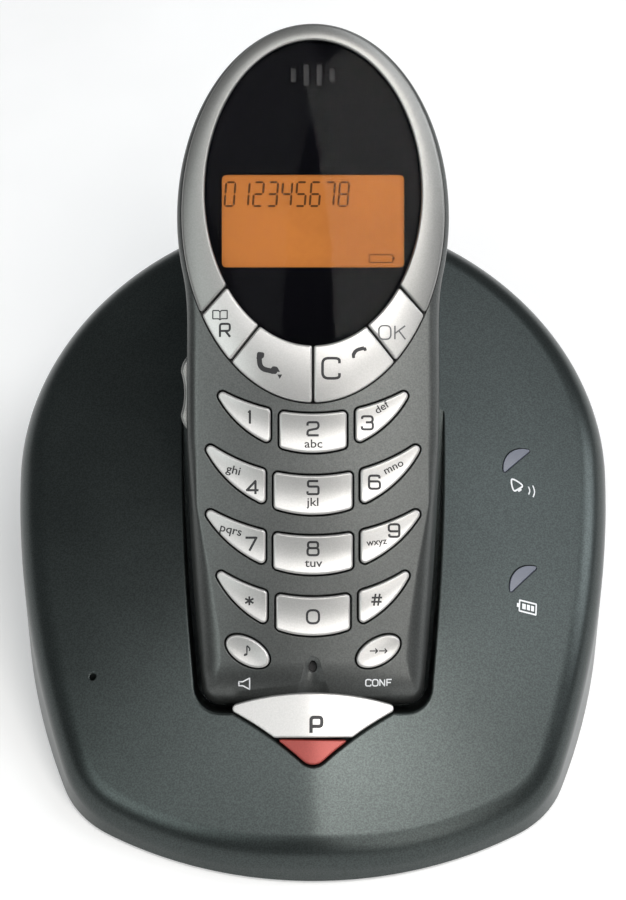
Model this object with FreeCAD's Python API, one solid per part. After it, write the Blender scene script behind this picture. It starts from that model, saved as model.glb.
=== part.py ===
import FreeCAD, Part
import math
import os
from FreeCAD import Placement, Rotation, Vector
from functools import lru_cache

# Cordless phone: a small handset standing in its charging base.
# Two frames are used. Base parts are drawn in the base frame: X to the right, Y to the back and
# Z up from the table. Handset parts are drawn lying on their back in the handset frame: X across,
# Y up the handset from its bottom end and Z out of its face. One placement stands them in the base.
# All sizes are millimetres.

# How the handset stands in the base
RECLINE = 42.0
SEAT_HEIGHT = 6.5

# Handset casing
HANDSET_LENGTH = 126.0
HANDSET_DEPTH = 22.0
HEAD_HALF_WIDTH = 25.2
HEAD_HALF_HEIGHT = 35.8
HEAD_CENTRE = HANDSET_LENGTH - HEAD_HALF_HEIGHT
HEAD_JOIN_ANGLE = -0.29
GRIP_POINTS = ((20.6, 3.8), (22.55, 28.0), (23.35, 62.0))
GRIP_CORNER = 3.5
FACE_ACROSS_RADIUS = 110.0
FACE_CROWN_START = 90.0
FACE_CROWN_RADIUS = 300.0
FACE_ROLL_START = 8.0
FACE_ROLL_RADIUS = 12.0
FACE_EDGE_RADIUS = 2.6
REAR_CURVE_START = 70.0
REAR_CURVE_RADIUS = 220.0
REAR_EDGE_RADIUS = 3.2
PARTING = 12.0
PARTING_GAP = 0.1
HANDSET_WALL = 1.7

# Handset head: raised oval ring, window, display and earpiece
RING_CENTRE = 90.6
RING_HALF_WIDTH = 24.3
RING_HALF_HEIGHT = 35.0
RING_RAISE = 1.2
RING_FLOOR = 19.0
RING_FLOOR_THICKNESS = 1.3
RING_RECESS_GAP = 0.15
RING_EDGE_RADIUS = 0.9
WINDOW_CENTRE = 94.4
WINDOW_HALF_WIDTH = 19.85
WINDOW_HALF_HEIGHT = 28.0
WINDOW_SINK = 0.35
WINDOW_GAP = 0.05
WINDOW_EDGE_RADIUS = 0.3
MASK_THICKNESS = 0.25
DISPLAY_CENTRE = 89.3
DISPLAY_VIEW = (33.6, 17.1)
DISPLAY_BODY = (38.0, 21.0)
DISPLAY_CORNER = 0.8
DISPLAY_GUIDE_THICKNESS = 1.6
DISPLAY_GLASS = (36.0, 20.0)
DISPLAY_GLASS_GAP = 0.2
DISPLAY_OPENING_MARGIN = 1.0
EARPIECE_CENTRE = 112.0
EARPIECE_RADIUS = 9.5
EARPIECE_RIM = 2.0
EARPIECE_STEP = 0.8
EARPIECE_PLATE_RADIUS = 7.0
EARPIECE_GAP = 0.1
EARPIECE_SLOT_WIDTH = 1.1
EARPIECE_SLOT_HEIGHTS = (3.0, 4.4, 4.4, 3.0)
EARPIECE_SLOT_PITCH = 2.4
EARPIECE_SLOT_CENTRE = 116.2

# Lines that divide the oval ring into its casting and the four function keys, right half
RING_END_LINE = ((16.1, 76.9), (20.6, 71.9))
KEY_SPLIT_LINE = ((10.05, 69.65), (15.15, 63.3))
LINE_OVERRUN = 0.8
DIVISION_GAP = 0.35

# Keys: each digit row is a smile-shaped band between two arcs, cut in three
# lowest point of the upper arc and of the lower arc, upper radius, reach of the tips,
# half width of the middle key, inner edge of the side keys
DIGIT_ROWS = (
    (53.7, 46.5, 35.4, 18.5, 6.2, 7.8),
    (42.3, 35.1, 33.7, 20.9, 7.25, 8.7),
    (31.25, 24.1, 39.0, 21.05, 7.3, 8.7),
    (20.0, 12.9, 32.0, 18.7, 6.8, 8.4),
)
DIGIT_NAMES = (
    ("key_1", "key_2", "key_3"),
    ("key_4", "key_5", "key_6"),
    ("key_7", "key_8", "key_9"),
    ("key_star", "key_0", "key_hash"),
)
KEY_CORNER = 0.8
KEY_RAISE = 0.7
KEY_TOP_RADIUS = 0.35
KEY_GAP = 0.28
KEY_FLANGE = 0.5
KEY_FLANGE_HEIGHT = 1.3
KEY_TRAVEL = 0.5
KEY_REST_GAP = 0.1
FUNCTION_KEY_ROOT = 0.5
OVAL_KEY_CENTRE = (12.0, 10.0)
OVAL_KEY_HALF = (4.4, 2.4)
OVAL_KEY_TILT = 30.0

# Volume rocker on the left side
ROCKER_CENTRE = 57.6
ROCKER_HALF_LENGTH = 7.8
ROCKER_LEVELS = (13.6, 17.0)
ROCKER_INNER = 21.7
ROCKER_OUTER = 24.5
ROCKER_WAIST = 23.9
ROCKER_PIN_X = 22.55
ROCKER_PIN_RADIUS = 0.6
ROCKER_PIN_CLEARANCE = 0.06
ROCKER_GAP = 0.35
ROCKER_OPENING_REACH = 9.0

# Inside the handset
BOARD_LEVEL = 13.0
BOARD_THICKNESS = 1.2
MAT_LEVELS = (15.3, 16.3)
MAT_NUB_RADIUS = 1.8
MAT_NUB_GAP = 0.3
MAT_CENTRE = 41.0
MAT_SIZE = (60.0, 73.0)
MAT_EDGE_GAP = 1.2
MAT_HOLE_GAP = 0.2
MAT_FOOT_SIZE = (3.0, 3.0)
MAT_FEET = ((5.0, 71.0), (-5.0, 71.0), (0.0, 12.5))
BOARD_EDGE_GAP = 0.6
HANDSET_SHIELD_CENTRE = (0.0, 92.0)
HANDSET_SHIELD_SIZE = (26.0, 15.0)
HANDSET_SHIELD_DEPTH = 3.4
CELL_RADIUS = 5.2
CELL_LENGTH = 44.0
CELL_BOTTOM = 19.5
CELL_OFFSET = 5.6
CELL_LEVEL = 7.4
CELL_CAP_RADIUS = 1.9
CELL_CAP_LENGTH = 1.0
BATTERY_PLATE_SIZE = (7.0, 0.1)
BATTERY_PLATE_LEVELS = (3.0, 11.0)
BATTERY_PLATE_OFFSET = 1.15
TRAY_WALL = 1.0
TRAY_SIDE_ROOM = 0.8
TRAY_END_ROOM = 2.4
TRAY_TOP_GAP = 0.2
DOOR_SPAN = (14.0, 69.0)
DOOR_HALF_WIDTH = 14.0
DOOR_THICKNESS = 1.5
DOOR_GAP = 0.15
DOOR_SKIM = 0.05
DOOR_GROOVES = (5.0, 8.0, 11.0)
DOOR_GROOVE_SIZE = (12.0, 0.9)
DOOR_GROOVE_DEPTH = 0.5
RINGER_CENTRE = 88.0
RINGER_RADIUS = 8.0
RINGER_DEPTH = 3.5
RINGER_HOLES = 6
RINGER_HOLE_RING = 4.0
SOUND_HOLE_RADIUS = 0.6
MIC_CENTRE = 7.2
MIC_RADIUS = 2.0
MIC_HOLE_RADIUS = 0.6
MIC_TOP = 19.4
MIC_GROOVE_RADII = (0.5, 3.0)
MIC_GROOVE_SLOPE = 0.055
MIC_GROOVE_DEPTH = 0.35
MIC_GROOVE_LENGTH = 9.2
HANDSET_SCREWS = ((17.0, 16.5), (-17.0, 16.5), (17.0, 103.0), (-17.0, 103.0))
HANDSET_SCREW_RADIUS = 1.0
HANDSET_SCREW_HEAD = 2.1
HANDSET_SCREW_SEAT = 4.2
HANDSET_SCREW_HEAD_DEPTH = 1.3
HANDSET_SCREW_TIP = 17.5
SCREW_HEAD_GAP = 0.2
HANDSET_PILOT_TIP = 18.0
HANDSET_BOSS_RADIUS = 2.9
FRONT_BOSS_RADIUS = 2.1
PAD_SPAN = (6.0, 12.0)
PAD_EDGES = (4.0, 9.0)
PAD_THICKNESS = 0.6
PAD_GAP = 0.05

# Base casing: outline of tangent arcs closed by half an ellipse at the back
BASE_HALF_WIDTH = 56.5
BASE_WIDEST = 38.0
BASE_FRONT = -38.3
BASE_BACK = 89.0
FRONT_RADIUS = 74.0
CORNER_RADIUS = 20.0
SIDE_RADIUS = 160.0
BASE_WALL = 2.2
BASE_TOP_WALL = 2.64
BASE_RIM_RADIUS = 8.0
BASE_BOTTOM = 1.0
FRONT_HEIGHT = 8.5
FRONT_SLOPE = 0.675
BACK_SLOPE = 0.05
CREASE_SLOPE = 0.12
CREASE_SOFTNESS = 3.0
ACROSS_RADIUS = 260.0
ORIGIN_BACK = (BASE_FRONT + BASE_BACK) / 2

# Pocket for the handset
POCKET_GAP = 1.4
POCKET_FLOOR_GAP = 0.5
POCKET_WALL = 1.8
TUB_COVER_GAP = 0.2

# Paging key on the front lip, drawn in the handset frame
PAGING_TIP = (16.1, -0.35)
PAGING_TOP = 2.4
PAGING_FLANK = ((6.4, -6.2), (1.87, -9.83))
PAGING_APEX = -10.55
PAGING_CORNER = 0.8
PAGING_SPLIT = -5.9
PAGING_SPLIT_GAP = 0.1
PAGING_RAISE = 1.15
PAGING_THICKNESS = 2.2
PAGING_GAP = 0.3
PAGING_TRAVEL = 0.5
PAGING_OPENING_LEVEL = 17.0
PAGING_STEM_CENTRE = -6.3
PAGING_STEM_RADIUS = 1.8
SWITCH_LEVEL = 12.0
SWITCH_HEIGHT = 3.5
SWITCH_PLUNGER = 0.9
SWITCH_HALF = 2.9
SWITCH_BOARD_THICKNESS = 1.2
SWITCH_BOARD_CENTRE = -6.7
SWITCH_BOARD_SIZE = (16.0, 6.6)
SWITCH_PLUNGER_RADIUS = 1.5
SHELF_RIB_OFFSET = 5.5
SHELF_RIB_CENTRE = -5.5
SHELF_RIB_SIZE = (1.6, 8.0)
SHELF_RIB_HEIGHT = 6.0
PAGING_ARM_OFFSET = 1.6
PAGING_ARM_SIZE = (3.0, 3.4)
PAGING_ARM_STEP = 2.0
PAGING_ROOT = 0.4
PAGING_REST_GAP = 0.05

# Base underside
COVER_LEVELS = (1.2, 3.2)
COVER_GAP = 0.3
VENT_CENTRE = 52.0
VENT_SIZE = (1.6, 14.0)
VENT_REACH = 9.0
VENT_COUNT = 4
FOOT_EDGE_RADIUS = 0.4
FOOT_RADIUS = 5.0
FOOT_PLACES = ((37.0, -8.0), (-37.0, -8.0), (32.0, 66.0), (-32.0, 66.0))
BASE_SCREWS = ((44.0, 40.0), (-44.0, 40.0), (14.0, -27.0), (-14.0, -27.0))
BASE_SCREW_RADIUS = 1.25
BASE_SCREW_HEAD = 2.6
BASE_SCREW_LENGTH = 9.0
BASE_SCREW_HEAD_LEVEL = 0.5
BASE_BOSS_RADIUS = 3.2
SCREW_CLEARANCE = 0.1

# Inside the base
BASE_BOARD_LEVEL = 6.4
BASE_BOARD_THICKNESS = 1.6
BOARD_POST_RADIUS = 2.5
BOARD_POSTS = ((24.0, 24.0), (-24.0, 24.0), (22.0, 72.0), (-22.0, 72.0))
BOARD_MIDDLE = ((0.0, 50.0), (64.0, 64.0))
BOARD_RIGHT_WING = ((39.0, 30.0), (18.0, 46.0))
BOARD_LEFT_WING = ((-39.0, 24.0), (18.0, 60.0))
BOARD_HOLE_GAP = 0.4
BASE_SHIELD_CENTRE = (-22.0, 55.0)
BASE_SHIELD_SIZE = (24.0, 18.0)
BASE_SHIELD_HEIGHT = 4.0
SHIELD_WALL = 0.5
AERIAL_PLACE = (-38.0, 48.0)
AERIAL_SIZE = (1.2, 14.0)
AERIAL_HEIGHT = 15.0
LED_PLACES = {"upper": (38.9, 33.1), "lower": (39.6, 10.9)}
LED_RADIUS = 1.5
LED_HEIGHT = 2.2
LENS_HALF_LENGTH = 3.9
LENS_WIDTH = 2.1
LENS_TURN = 46.0
LENS_RAISE = 0.15
LENS_CORNER = 0.25
LENS_GAP = 0.1
LENS_OPENING_LEVEL = 15.0
LENS_ROOT = 0.6
PIPE_ROOT = 0.2
PIPE_GAP = 0.3
PIPE_RADIUS = 1.4
SOUND_HOLE_PLACE = (-41.0, -5.6)
SOUND_HOLE_LEVEL = 12.0
BUZZER_PLACE = (-38.0, 0.0)
BUZZER_RADIUS = 6.0
BUZZER_HEIGHT = 5.0
BUZZER_HOLE_RADIUS = 1.2
CONTACT_OFFSET = 6.5
CONTACT_CENTRE = 9.0
CONTACT_WIDTH = 2.4
CONTACT_STANDOFF = 0.2
CONTACT_THICKNESS = 0.3
CONTACT_CROWN_LENGTH = 2.2
CONTACT_LEG_OFFSET = 0.95
CONTACT_TAIL_OFFSET = 2.8
CONTACT_TAIL_LENGTH = 4.0
CONTACT_TAIL_DROP = 0.7
CONTACT_SLOT_SIZE = (3.0, 5.0)
HOLDER_OFFSET = 3.0
HOLDER_SIZE = (20.0, 5.0)
HOLDER_DEPTH = 2.2
HOLDER_SLOT_SIZE = (2.6, 11.0)
LINE_JACK_X = -10.0
POWER_JACK_X = 9.0
JACK_FACE = 86.4
JACK_BOTTOM = BASE_BOARD_LEVEL + BASE_BOARD_THICKNESS
LINE_JACK_SIZE = (12.4, 15.0, 11.0)
LINE_JACK_HOLE = (9.8, 11.0, 6.8)
LINE_JACK_SILL = 1.4
LINE_JACK_LATCH = (3.4, 1.3)
POWER_JACK_SIZE = (9.0, 13.0, 10.6)
POWER_JACK_BORE = 3.0
POWER_JACK_PIN = 1.0
POWER_JACK_DEPTH = 9.0
POWER_PIN_LENGTH = 8.0
POWER_PIN_ROOT = 0.5
JACK_CLEARANCE = 0.2
JACK_OPENING_DEPTH = 18.0

# Cutting bodies run past the faces they cut: a little, or as far as it takes
OVERRUN = 1.0
ABOVE_FACE = HANDSET_DEPTH + 3.0
ABOVE_BASE = 90.0
FAR = 200.0


def flat(point):
    """Vector of a point in the plane."""
    return Vector(point[0], point[1], 0)


def mirrored(point):
    """The point on the other side of the middle plane."""
    return (-point[0], point[1])


def line(start, end):
    """Straight edge."""
    return Part.LineSegment(flat(start), flat(end)).toShape()


def arc(start, middle, end):
    """Circular edge through three points."""
    return Part.Arc(flat(start), flat(middle), flat(end)).toShape()


def evenly(low, high, count):
    """Evenly spaced values from low to high."""
    return [low + (high - low) * i / (count - 1) for i in range(count)]


def prism(wire, low, high):
    """Solid with the wire's outline from one level to another."""
    face = Part.Face(wire)
    face.translate(Vector(0, 0, low))
    return face.extrude(Vector(0, 0, high - low))


def block(centre, size, low, high):
    """Upright block about a centre in plan."""
    corner = Vector(centre[0] - size[0] / 2, centre[1] - size[1] / 2, low)
    return Part.makeBox(size[0], size[1], high - low, corner)


def rod(centre, radius, low, high):
    """Upright cylinder."""
    return Part.makeCylinder(radius, high - low, Vector(centre[0], centre[1], low))


def ellipse_wire(centre, half_x, half_y, turn=0.0):
    """Ellipse in plan, turned about its own centre."""
    wide = half_x >= half_y
    ellipse = Part.Ellipse(Vector(0, 0, 0), max(half_x, half_y), min(half_x, half_y))
    wire = Part.Wire([ellipse.toShape()])
    angle = turn if wide else turn + 90
    wire.Placement = Placement(flat(centre), Rotation(Vector(0, 0, 1), angle))
    return wire


def polygon(points):
    """Closed wire of straight edges."""
    corners = [flat(p) for p in points]
    return Part.makePolygon(corners + corners[:1])


def softened(wire, radius, grow=0.0):
    """The outline with its outer corners rounded, then grown all round."""
    return wire.makeOffset2D(-radius).makeOffset2D(radius + grow)


def solid_above(height, xs, ys):
    """Everything above the surface z = height(x, y)."""
    grid = [[Vector(x, y, height(x, y)) for y in ys] for x in xs]
    surface = Part.BSplineSurface()
    surface.interpolate(grid)
    return surface.toShape().extrude(Vector(0, 0, FAR))


def highest_face(shape):
    """The face that lies highest."""
    return max(shape.Faces, key=lambda face: face.CenterOfMass.z)


def lowest_face(shape):
    """The face that lies lowest."""
    return min(shape.Faces, key=lambda face: face.CenterOfMass.z)


def union(shapes):
    """One solid from touching or overlapping solids."""
    whole = shapes[0].fuse(shapes[1:])
    return whole.removeSplitter()


def stand(shape):
    """Handset frame to base frame."""
    placed = shape.copy()
    placed.Placement = Placement(
        Vector(0, 0, SEAT_HEIGHT), Rotation(Vector(1, 0, 0), RECLINE)
    ).multiply(placed.Placement)
    return placed


# Handset outline and face

def grip_edges(grow):
    """Right-hand edges of the handset outline, from the bottom middle to the head."""
    foot, middle, top = [(x + grow, y) for x, y in GRIP_POINTS]
    half_width = HEAD_HALF_WIDTH + grow
    half_height = HEAD_HALF_HEIGHT + grow
    join = (half_width * math.cos(HEAD_JOIN_ANGLE),
            HEAD_CENTRE + half_height * math.sin(HEAD_JOIN_ANGLE))
    slope = -half_width * math.sin(HEAD_JOIN_ANGLE) / (half_height * math.cos(HEAD_JOIN_ANGLE))
    reach = (join[1] - top[1]) / 3
    neck = Part.BezierCurve()
    neck.setPoles([flat(top), flat((top[0] + 0.05, top[1] + reach)),
                   flat((join[0] - slope * reach, join[1] - reach)), flat(join)])
    corner_x = GRIP_POINTS[0][0] - GRIP_CORNER
    diagonal = (GRIP_CORNER + grow) / math.sqrt(2)
    corner = arc((corner_x, -grow), (corner_x + diagonal, GRIP_CORNER - diagonal), foot)
    return [line((0, -grow), (corner_x, -grow)), corner, arc(foot, middle, top), neck.toShape()]


def handset_wire(grow=0.0):
    """Outline of the handset: straight-sided grip under an oval head."""
    right = grip_edges(grow)
    left = [edge.mirror(Vector(0, 0, 0), Vector(1, 0, 0)) for edge in right]
    half_width = HEAD_HALF_WIDTH + grow
    half_height = HEAD_HALF_HEIGHT + grow
    head = Part.Ellipse(Vector(0, 0, 0), half_height, half_width)
    head.rotate(Placement(Vector(0, 0, 0), Rotation(Vector(0, 0, 1), 90)))
    head.translate(Vector(0, HEAD_CENTRE, 0))
    first = head.parameter(right[-1].Vertexes[-1].Point)
    last = head.parameter(left[-1].Vertexes[-1].Point)
    if last < first:
        last += 2 * math.pi
    crown = Part.ArcOfEllipse(head, first, last).toShape()
    return Part.Wire(Part.__sortEdges__(right + left + [crown]))


def face_level(x, y):
    """Front face: rounded across, drooping to the top end and rolled over at the bottom."""
    crown = max(y - FACE_CROWN_START, 0) ** 2 / (2 * FACE_CROWN_RADIUS)
    into_roll = min(max(FACE_ROLL_START - y, 0), FACE_ROLL_RADIUS)
    roll = FACE_ROLL_RADIUS - math.sqrt(FACE_ROLL_RADIUS ** 2 - into_roll ** 2)
    return HANDSET_DEPTH - x * x / (2 * FACE_ACROSS_RADIUS) - crown - roll


def rear_level(x, y):
    """Rear face: flat in the hand, curving forward behind the head."""
    return max(y - REAR_CURVE_START, 0) ** 2 / (2 * REAR_CURVE_RADIUS)


@lru_cache
def above_face(lift):
    """Everything in front of the handset's face, moved outwards by lift."""
    ys = evenly(-3.5, 8.5, 13) + evenly(10, 130, 25)
    return solid_above(lambda x, y: face_level(x, y) + lift, evenly(-28, 28, 9), ys)


def above_rear(lift):
    """Everything in front of the handset's rear face."""
    xs = evenly(-28, 28, 5)
    return solid_above(lambda x, y: rear_level(x, y) + lift, xs, evenly(-5, 130, 28))


# Key outlines, each as a wire in the handset frame

def smile_point(bottom, radius, x):
    """Point of an upward-curving arc whose lowest point is on the middle line."""
    return (x, bottom + radius - math.sqrt(radius ** 2 - x ** 2))


def lower_radius(row):
    """Radius of a row's lower arc, which meets the upper arc at the tips."""
    top, bottom, radius, reach = row[:4]
    rise = smile_point(top, radius, reach)[1] - bottom
    return (reach ** 2 + rise ** 2) / (2 * rise)


def band_wire(row, left, right):
    """Stretch of a row's band between two upright lines, or out to the tip."""
    top, bottom, radius, reach = row[:4]
    low = lower_radius(row)
    middle = (left + right) / 2
    upper = [smile_point(top, radius, x) for x in (left, middle, right)]
    lower = [smile_point(bottom, low, x) for x in (left, middle, right)]
    edges = [arc(*upper), arc(*lower)]
    if abs(left) < reach:
        edges.append(line(upper[0], lower[0]))
    if abs(right) < reach:
        edges.append(line(upper[2], lower[2]))
    return Part.Wire(Part.__sortEdges__(edges))


def digit_wires():
    """Outline of every digit key by name."""
    wires = {}
    for row, names in zip(DIGIT_ROWS, DIGIT_NAMES):
        reach, half, inner = row[3:]
        spans = ((-reach, -inner), (-half, half), (inner, reach))
        for name, span in zip(names, spans):
            wires[name] = band_wire(row, *span)
    return wires


def oval_key_wires(grow=0.0):
    """The two small oval keys under the digits, each oval closed from two half ellipses."""
    x, y = OVAL_KEY_CENTRE
    long_half, short_half = [size + grow for size in OVAL_KEY_HALF]
    wires = {}
    for name, side in (("key_ringer", -1), ("key_conference", 1)):
        ellipse = Part.Ellipse(Vector(0, 0, 0), long_half, short_half)
        spans = ((0, math.pi), (math.pi, 2 * math.pi))
        wire = Part.Wire([Part.ArcOfEllipse(ellipse, *span).toShape() for span in spans])
        turn = Rotation(Vector(0, 0, 1), side * OVAL_KEY_TILT)
        wire.Placement = Placement(flat((side * x, y)), turn)
        wires[name] = wire
    return wires


def along(line_ends, share):
    """Point on the line through two points."""
    (x0, y0), (x1, y1) = line_ends
    return (x0 + (x1 - x0) * share, y0 + (y1 - y0) * share)


def function_key_wedges():
    """Plan wedge of each function key, left to right."""
    end_in = along(RING_END_LINE, -LINE_OVERRUN)
    end_out = along(RING_END_LINE, 1 + LINE_OVERRUN)
    split_in = along(KEY_SPLIT_LINE, -LINE_OVERRUN)
    split_out = along(KEY_SPLIT_LINE, 1 + LINE_OVERRUN)
    middle_in = (0, split_in[1])
    middle_out = (0, split_out[1] - 10)
    outer = [end_in, end_out, split_out, split_in]
    inner = [split_in, split_out, middle_out, middle_in]
    return {
        "key_phonebook": [mirrored(p) for p in outer],
        "key_talk": [mirrored(p) for p in inner],
        "key_clear": inner,
        "key_ok": outer,
    }


def ring_oval(grow=0.0):
    """Outer outline of the oval ring."""
    return ellipse_wire((0, RING_CENTRE), RING_HALF_WIDTH + grow, RING_HALF_HEIGHT + grow)


def window_oval(grow=0.0):
    """Outline of the window."""
    return ellipse_wire((0, WINDOW_CENTRE), WINDOW_HALF_WIDTH + grow, WINDOW_HALF_HEIGHT + grow)


def ring_band(low, high, outer_grow, inner_grow):
    """Oval band between the ring's outer edge and the window."""
    outer = ring_oval(outer_grow)
    inner = window_oval(inner_grow)
    return prism(outer, low, high).cut(prism(inner, low - OVERRUN, high + OVERRUN))


# Keys

def stem_bottom():
    """Level of the keys' undersides, clear of the mat by the travel."""
    return MAT_LEVELS[1] + KEY_TRAVEL + KEY_REST_GAP


def cap_key(wire, flange_wire, top_cutter):
    """Key cap with a flange that stays under the casing."""
    low = stem_bottom()
    cap = prism(wire, low, ABOVE_FACE).cut(top_cutter)
    cap = cap.makeFillet(KEY_TOP_RADIUS, highest_face(cap).Edges)
    return cap.fuse(prism(flange_wire, low, low + KEY_FLANGE_HEIGHT))


@lru_cache
def digit_and_oval_keys():
    """Digit keys and the two oval keys."""
    cutter = above_face(KEY_RAISE)
    keys = {}
    for name, wire in digit_wires().items():
        flange = softened(wire, KEY_CORNER, KEY_FLANGE)
        keys[name] = cap_key(softened(wire, KEY_CORNER), flange, cutter)
    flanges = oval_key_wires(KEY_FLANGE)
    for name, wire in oval_key_wires().items():
        keys[name] = cap_key(wire, flanges[name], cutter)
    return keys


@lru_cache
def function_keys():
    """Four keys that carry on the oval ring below the window."""
    cutter = above_face(RING_RAISE)
    seat = RING_FLOOR + KEY_TRAVEL + KEY_REST_GAP
    band = ring_band(seat, ABOVE_FACE, -KEY_GAP / 2, KEY_GAP)
    keys = {}
    for name, points in function_key_wedges().items():
        wedge = polygon(points).makeOffset2D(-DIVISION_GAP / 2)
        cap = band.common(prism(wedge, 0, FAR)).cut(cutter)
        cap = cap.makeFillet(KEY_TOP_RADIUS, highest_face(cap).Edges)
        centre = cap.Solids[0].CenterOfMass
        top = seat + FUNCTION_KEY_ROOT
        stem = rod((centre.x, centre.y), MAT_NUB_RADIUS, stem_bottom(), top)
        keys[name] = cap.fuse(stem)
    return keys


def rocker_wire():
    """Two-lobed outline of the volume rocker."""
    low = ROCKER_CENTRE - ROCKER_HALF_LENGTH
    high = ROCKER_CENTRE + ROCKER_HALF_LENGTH
    quarter = ROCKER_HALF_LENGTH / 2
    inner_low = (-ROCKER_INNER, low)
    inner_high = (-ROCKER_INNER, high)
    waist = (-ROCKER_WAIST, ROCKER_CENTRE)
    edges = [
        arc(inner_low, (-ROCKER_OUTER, low + quarter), waist),
        arc(waist, (-ROCKER_OUTER, high - quarter), inner_high),
        line(inner_high, inner_low),
    ]
    return Part.Wire(edges)


def volume_rocker():
    """Rocker that turns on a pin in the casing wall."""
    low, high = ROCKER_LEVELS
    body = prism(rocker_wire(), low, high)
    pivot = (-ROCKER_PIN_X, ROCKER_CENTRE)
    bore = ROCKER_PIN_RADIUS + ROCKER_PIN_CLEARANCE
    return body.cut(rod(pivot, bore, low - OVERRUN, high + OVERRUN))


# Handset casing

def front_bosses():
    """Screw bosses under the front shell, standing on the circuit board."""
    base = BOARD_LEVEL + BOARD_THICKNESS
    top = RING_FLOOR + OVERRUN
    return [rod(place, FRONT_BOSS_RADIUS, base, top) for place in HANDSET_SCREWS]


def head_recess_floor(outer):
    """Floor of the oval recess that carries the ring and the window."""
    return prism(ring_oval(), RING_FLOOR - RING_FLOOR_THICKNESS, RING_FLOOR).common(outer)


def head_openings():
    """Cuts in the recess floor: display, earpiece and the stems of the function keys."""
    size = [side + DISPLAY_OPENING_MARGIN for side in DISPLAY_VIEW]
    view = block((0, DISPLAY_CENTRE), size, PARTING, FAR)
    sound = rod((0, EARPIECE_CENTRE), EARPIECE_RADIUS - EARPIECE_RIM, PARTING, FAR)
    stems = []
    for key in function_keys().values():
        stem = lowest_face(key)
        place = (stem.CenterOfMass.x, stem.CenterOfMass.y)
        stems.append(rod(place, MAT_NUB_RADIUS + KEY_GAP, PARTING, FAR))
    return [view, sound] + stems


def face_openings():
    """Cuts for the digit keys, the oval keys and the microphone."""
    wires = [softened(wire, KEY_CORNER, KEY_GAP) for wire in digit_wires().values()]
    wires += list(oval_key_wires(KEY_GAP).values())
    cuts = [prism(wire, PARTING, FAR) for wire in wires]
    cuts.append(rod((0, MIC_CENTRE), MIC_HOLE_RADIUS, PARTING, FAR))
    return cuts


def microphone_groove():
    """Groove that widens from the microphone hole down to the bottom end."""
    narrow, wide = MIC_GROOVE_RADII
    top = Vector(0, MIC_CENTRE, face_level(0, MIC_CENTRE) - MIC_GROOVE_DEPTH + narrow)
    down = Vector(0, -1, -MIC_GROOVE_SLOPE)
    return Part.makeCone(narrow, wide, MIC_GROOVE_LENGTH, top, down)


def rocker_opening():
    """Window in the left wall for the rocker."""
    low, high = ROCKER_LEVELS
    size = (ROCKER_OPENING_REACH, 2 * (ROCKER_HALF_LENGTH + ROCKER_GAP))
    centre = (-HEAD_HALF_WIDTH, ROCKER_CENTRE)
    return block(centre, size, low - ROCKER_GAP, high + ROCKER_GAP)


def rocker_pin():
    """Pin across the rocker's window."""
    low, high = ROCKER_LEVELS
    pivot = (-ROCKER_PIN_X, ROCKER_CENTRE)
    return rod(pivot, ROCKER_PIN_RADIUS, low - OVERRUN, high + OVERRUN)


def handset_front_shell():
    """Front half of the handset casing."""
    outer = prism(handset_wire(), PARTING, ABOVE_FACE).cut(above_face(0))
    outer = outer.makeFillet(FACE_EDGE_RADIUS, highest_face(outer).Edges)
    inner = prism(handset_wire(-HANDSET_WALL), PARTING - OVERRUN, ABOVE_FACE)
    inner = inner.cut(above_face(-HANDSET_WALL))
    shell = outer.cut(inner)
    bosses = [boss.common(outer) for boss in front_bosses()]
    shell = shell.fuse([head_recess_floor(outer)] + bosses)
    recess = prism(ring_oval(RING_RECESS_GAP), RING_FLOOR, FAR)
    bore = HANDSET_SCREW_RADIUS + SCREW_CLEARANCE
    pilots = [rod(place, bore, PARTING, HANDSET_PILOT_TIP) for place in HANDSET_SCREWS]
    cuts = [recess, rocker_opening(), microphone_groove()]
    shell = shell.cut(cuts + pilots + head_openings() + face_openings())
    return shell.fuse(rocker_pin())


def battery_space(grow, low, high):
    """Room for the two cells side by side."""
    width = 4 * CELL_RADIUS + 2 * grow + TRAY_SIDE_ROOM
    length = CELL_LENGTH + 2 * grow + TRAY_END_ROOM
    middle = CELL_BOTTOM + CELL_LENGTH / 2
    return block((0, middle), (width, length), low, high)


def handset_rear_shell():
    """Rear half of the handset casing, with the battery tray and screw bosses."""
    outer = rear_body(0, PARTING - PARTING_GAP)
    outer = outer.makeFillet(REAR_EDGE_RADIUS, lowest_face(outer).Edges)
    shell = outer.cut(rear_body(HANDSET_WALL, PARTING + OVERRUN))
    bosses = [rod(place, HANDSET_BOSS_RADIUS, OVERRUN, BOARD_LEVEL) for place in HANDSET_SCREWS]
    tray = battery_space(TRAY_WALL, OVERRUN, BOARD_LEVEL - TRAY_TOP_GAP)
    tray = tray.cut(battery_space(0, 0, BOARD_LEVEL))
    inside = rear_body(HANDSET_WALL / 2, BOARD_LEVEL + OVERRUN)
    shell = shell.fuse([piece.common(inside) for piece in bosses + [tray]])
    cuts = [door_opening(), ringer_holes()] + pad_recesses()
    for place in HANDSET_SCREWS:
        cuts.append(rod(place, HANDSET_SCREW_HEAD + SCREW_HEAD_GAP, -OVERRUN, HANDSET_SCREW_SEAT))
        cuts.append(rod(place, HANDSET_SCREW_RADIUS + SCREW_CLEARANCE, -OVERRUN, BOARD_LEVEL))
    return shell.cut(cuts)


def rear_body(inset, top):
    """Rear half of the handset as a filled body, inset all round."""
    return prism(handset_wire(-inset), -OVERRUN, top).common(above_rear(inset))


def door_opening():
    """Opening behind the cells, with a step that the door rests on."""
    middle = sum(DOOR_SPAN) / 2
    length = DOOR_SPAN[1] - DOOR_SPAN[0]
    mouth = block((0, middle), (2 * DOOR_HALF_WIDTH, length), -OVERRUN, DOOR_THICKNESS)
    return mouth.fuse(battery_space(0, -OVERRUN, HANDSET_WALL + OVERRUN))


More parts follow.
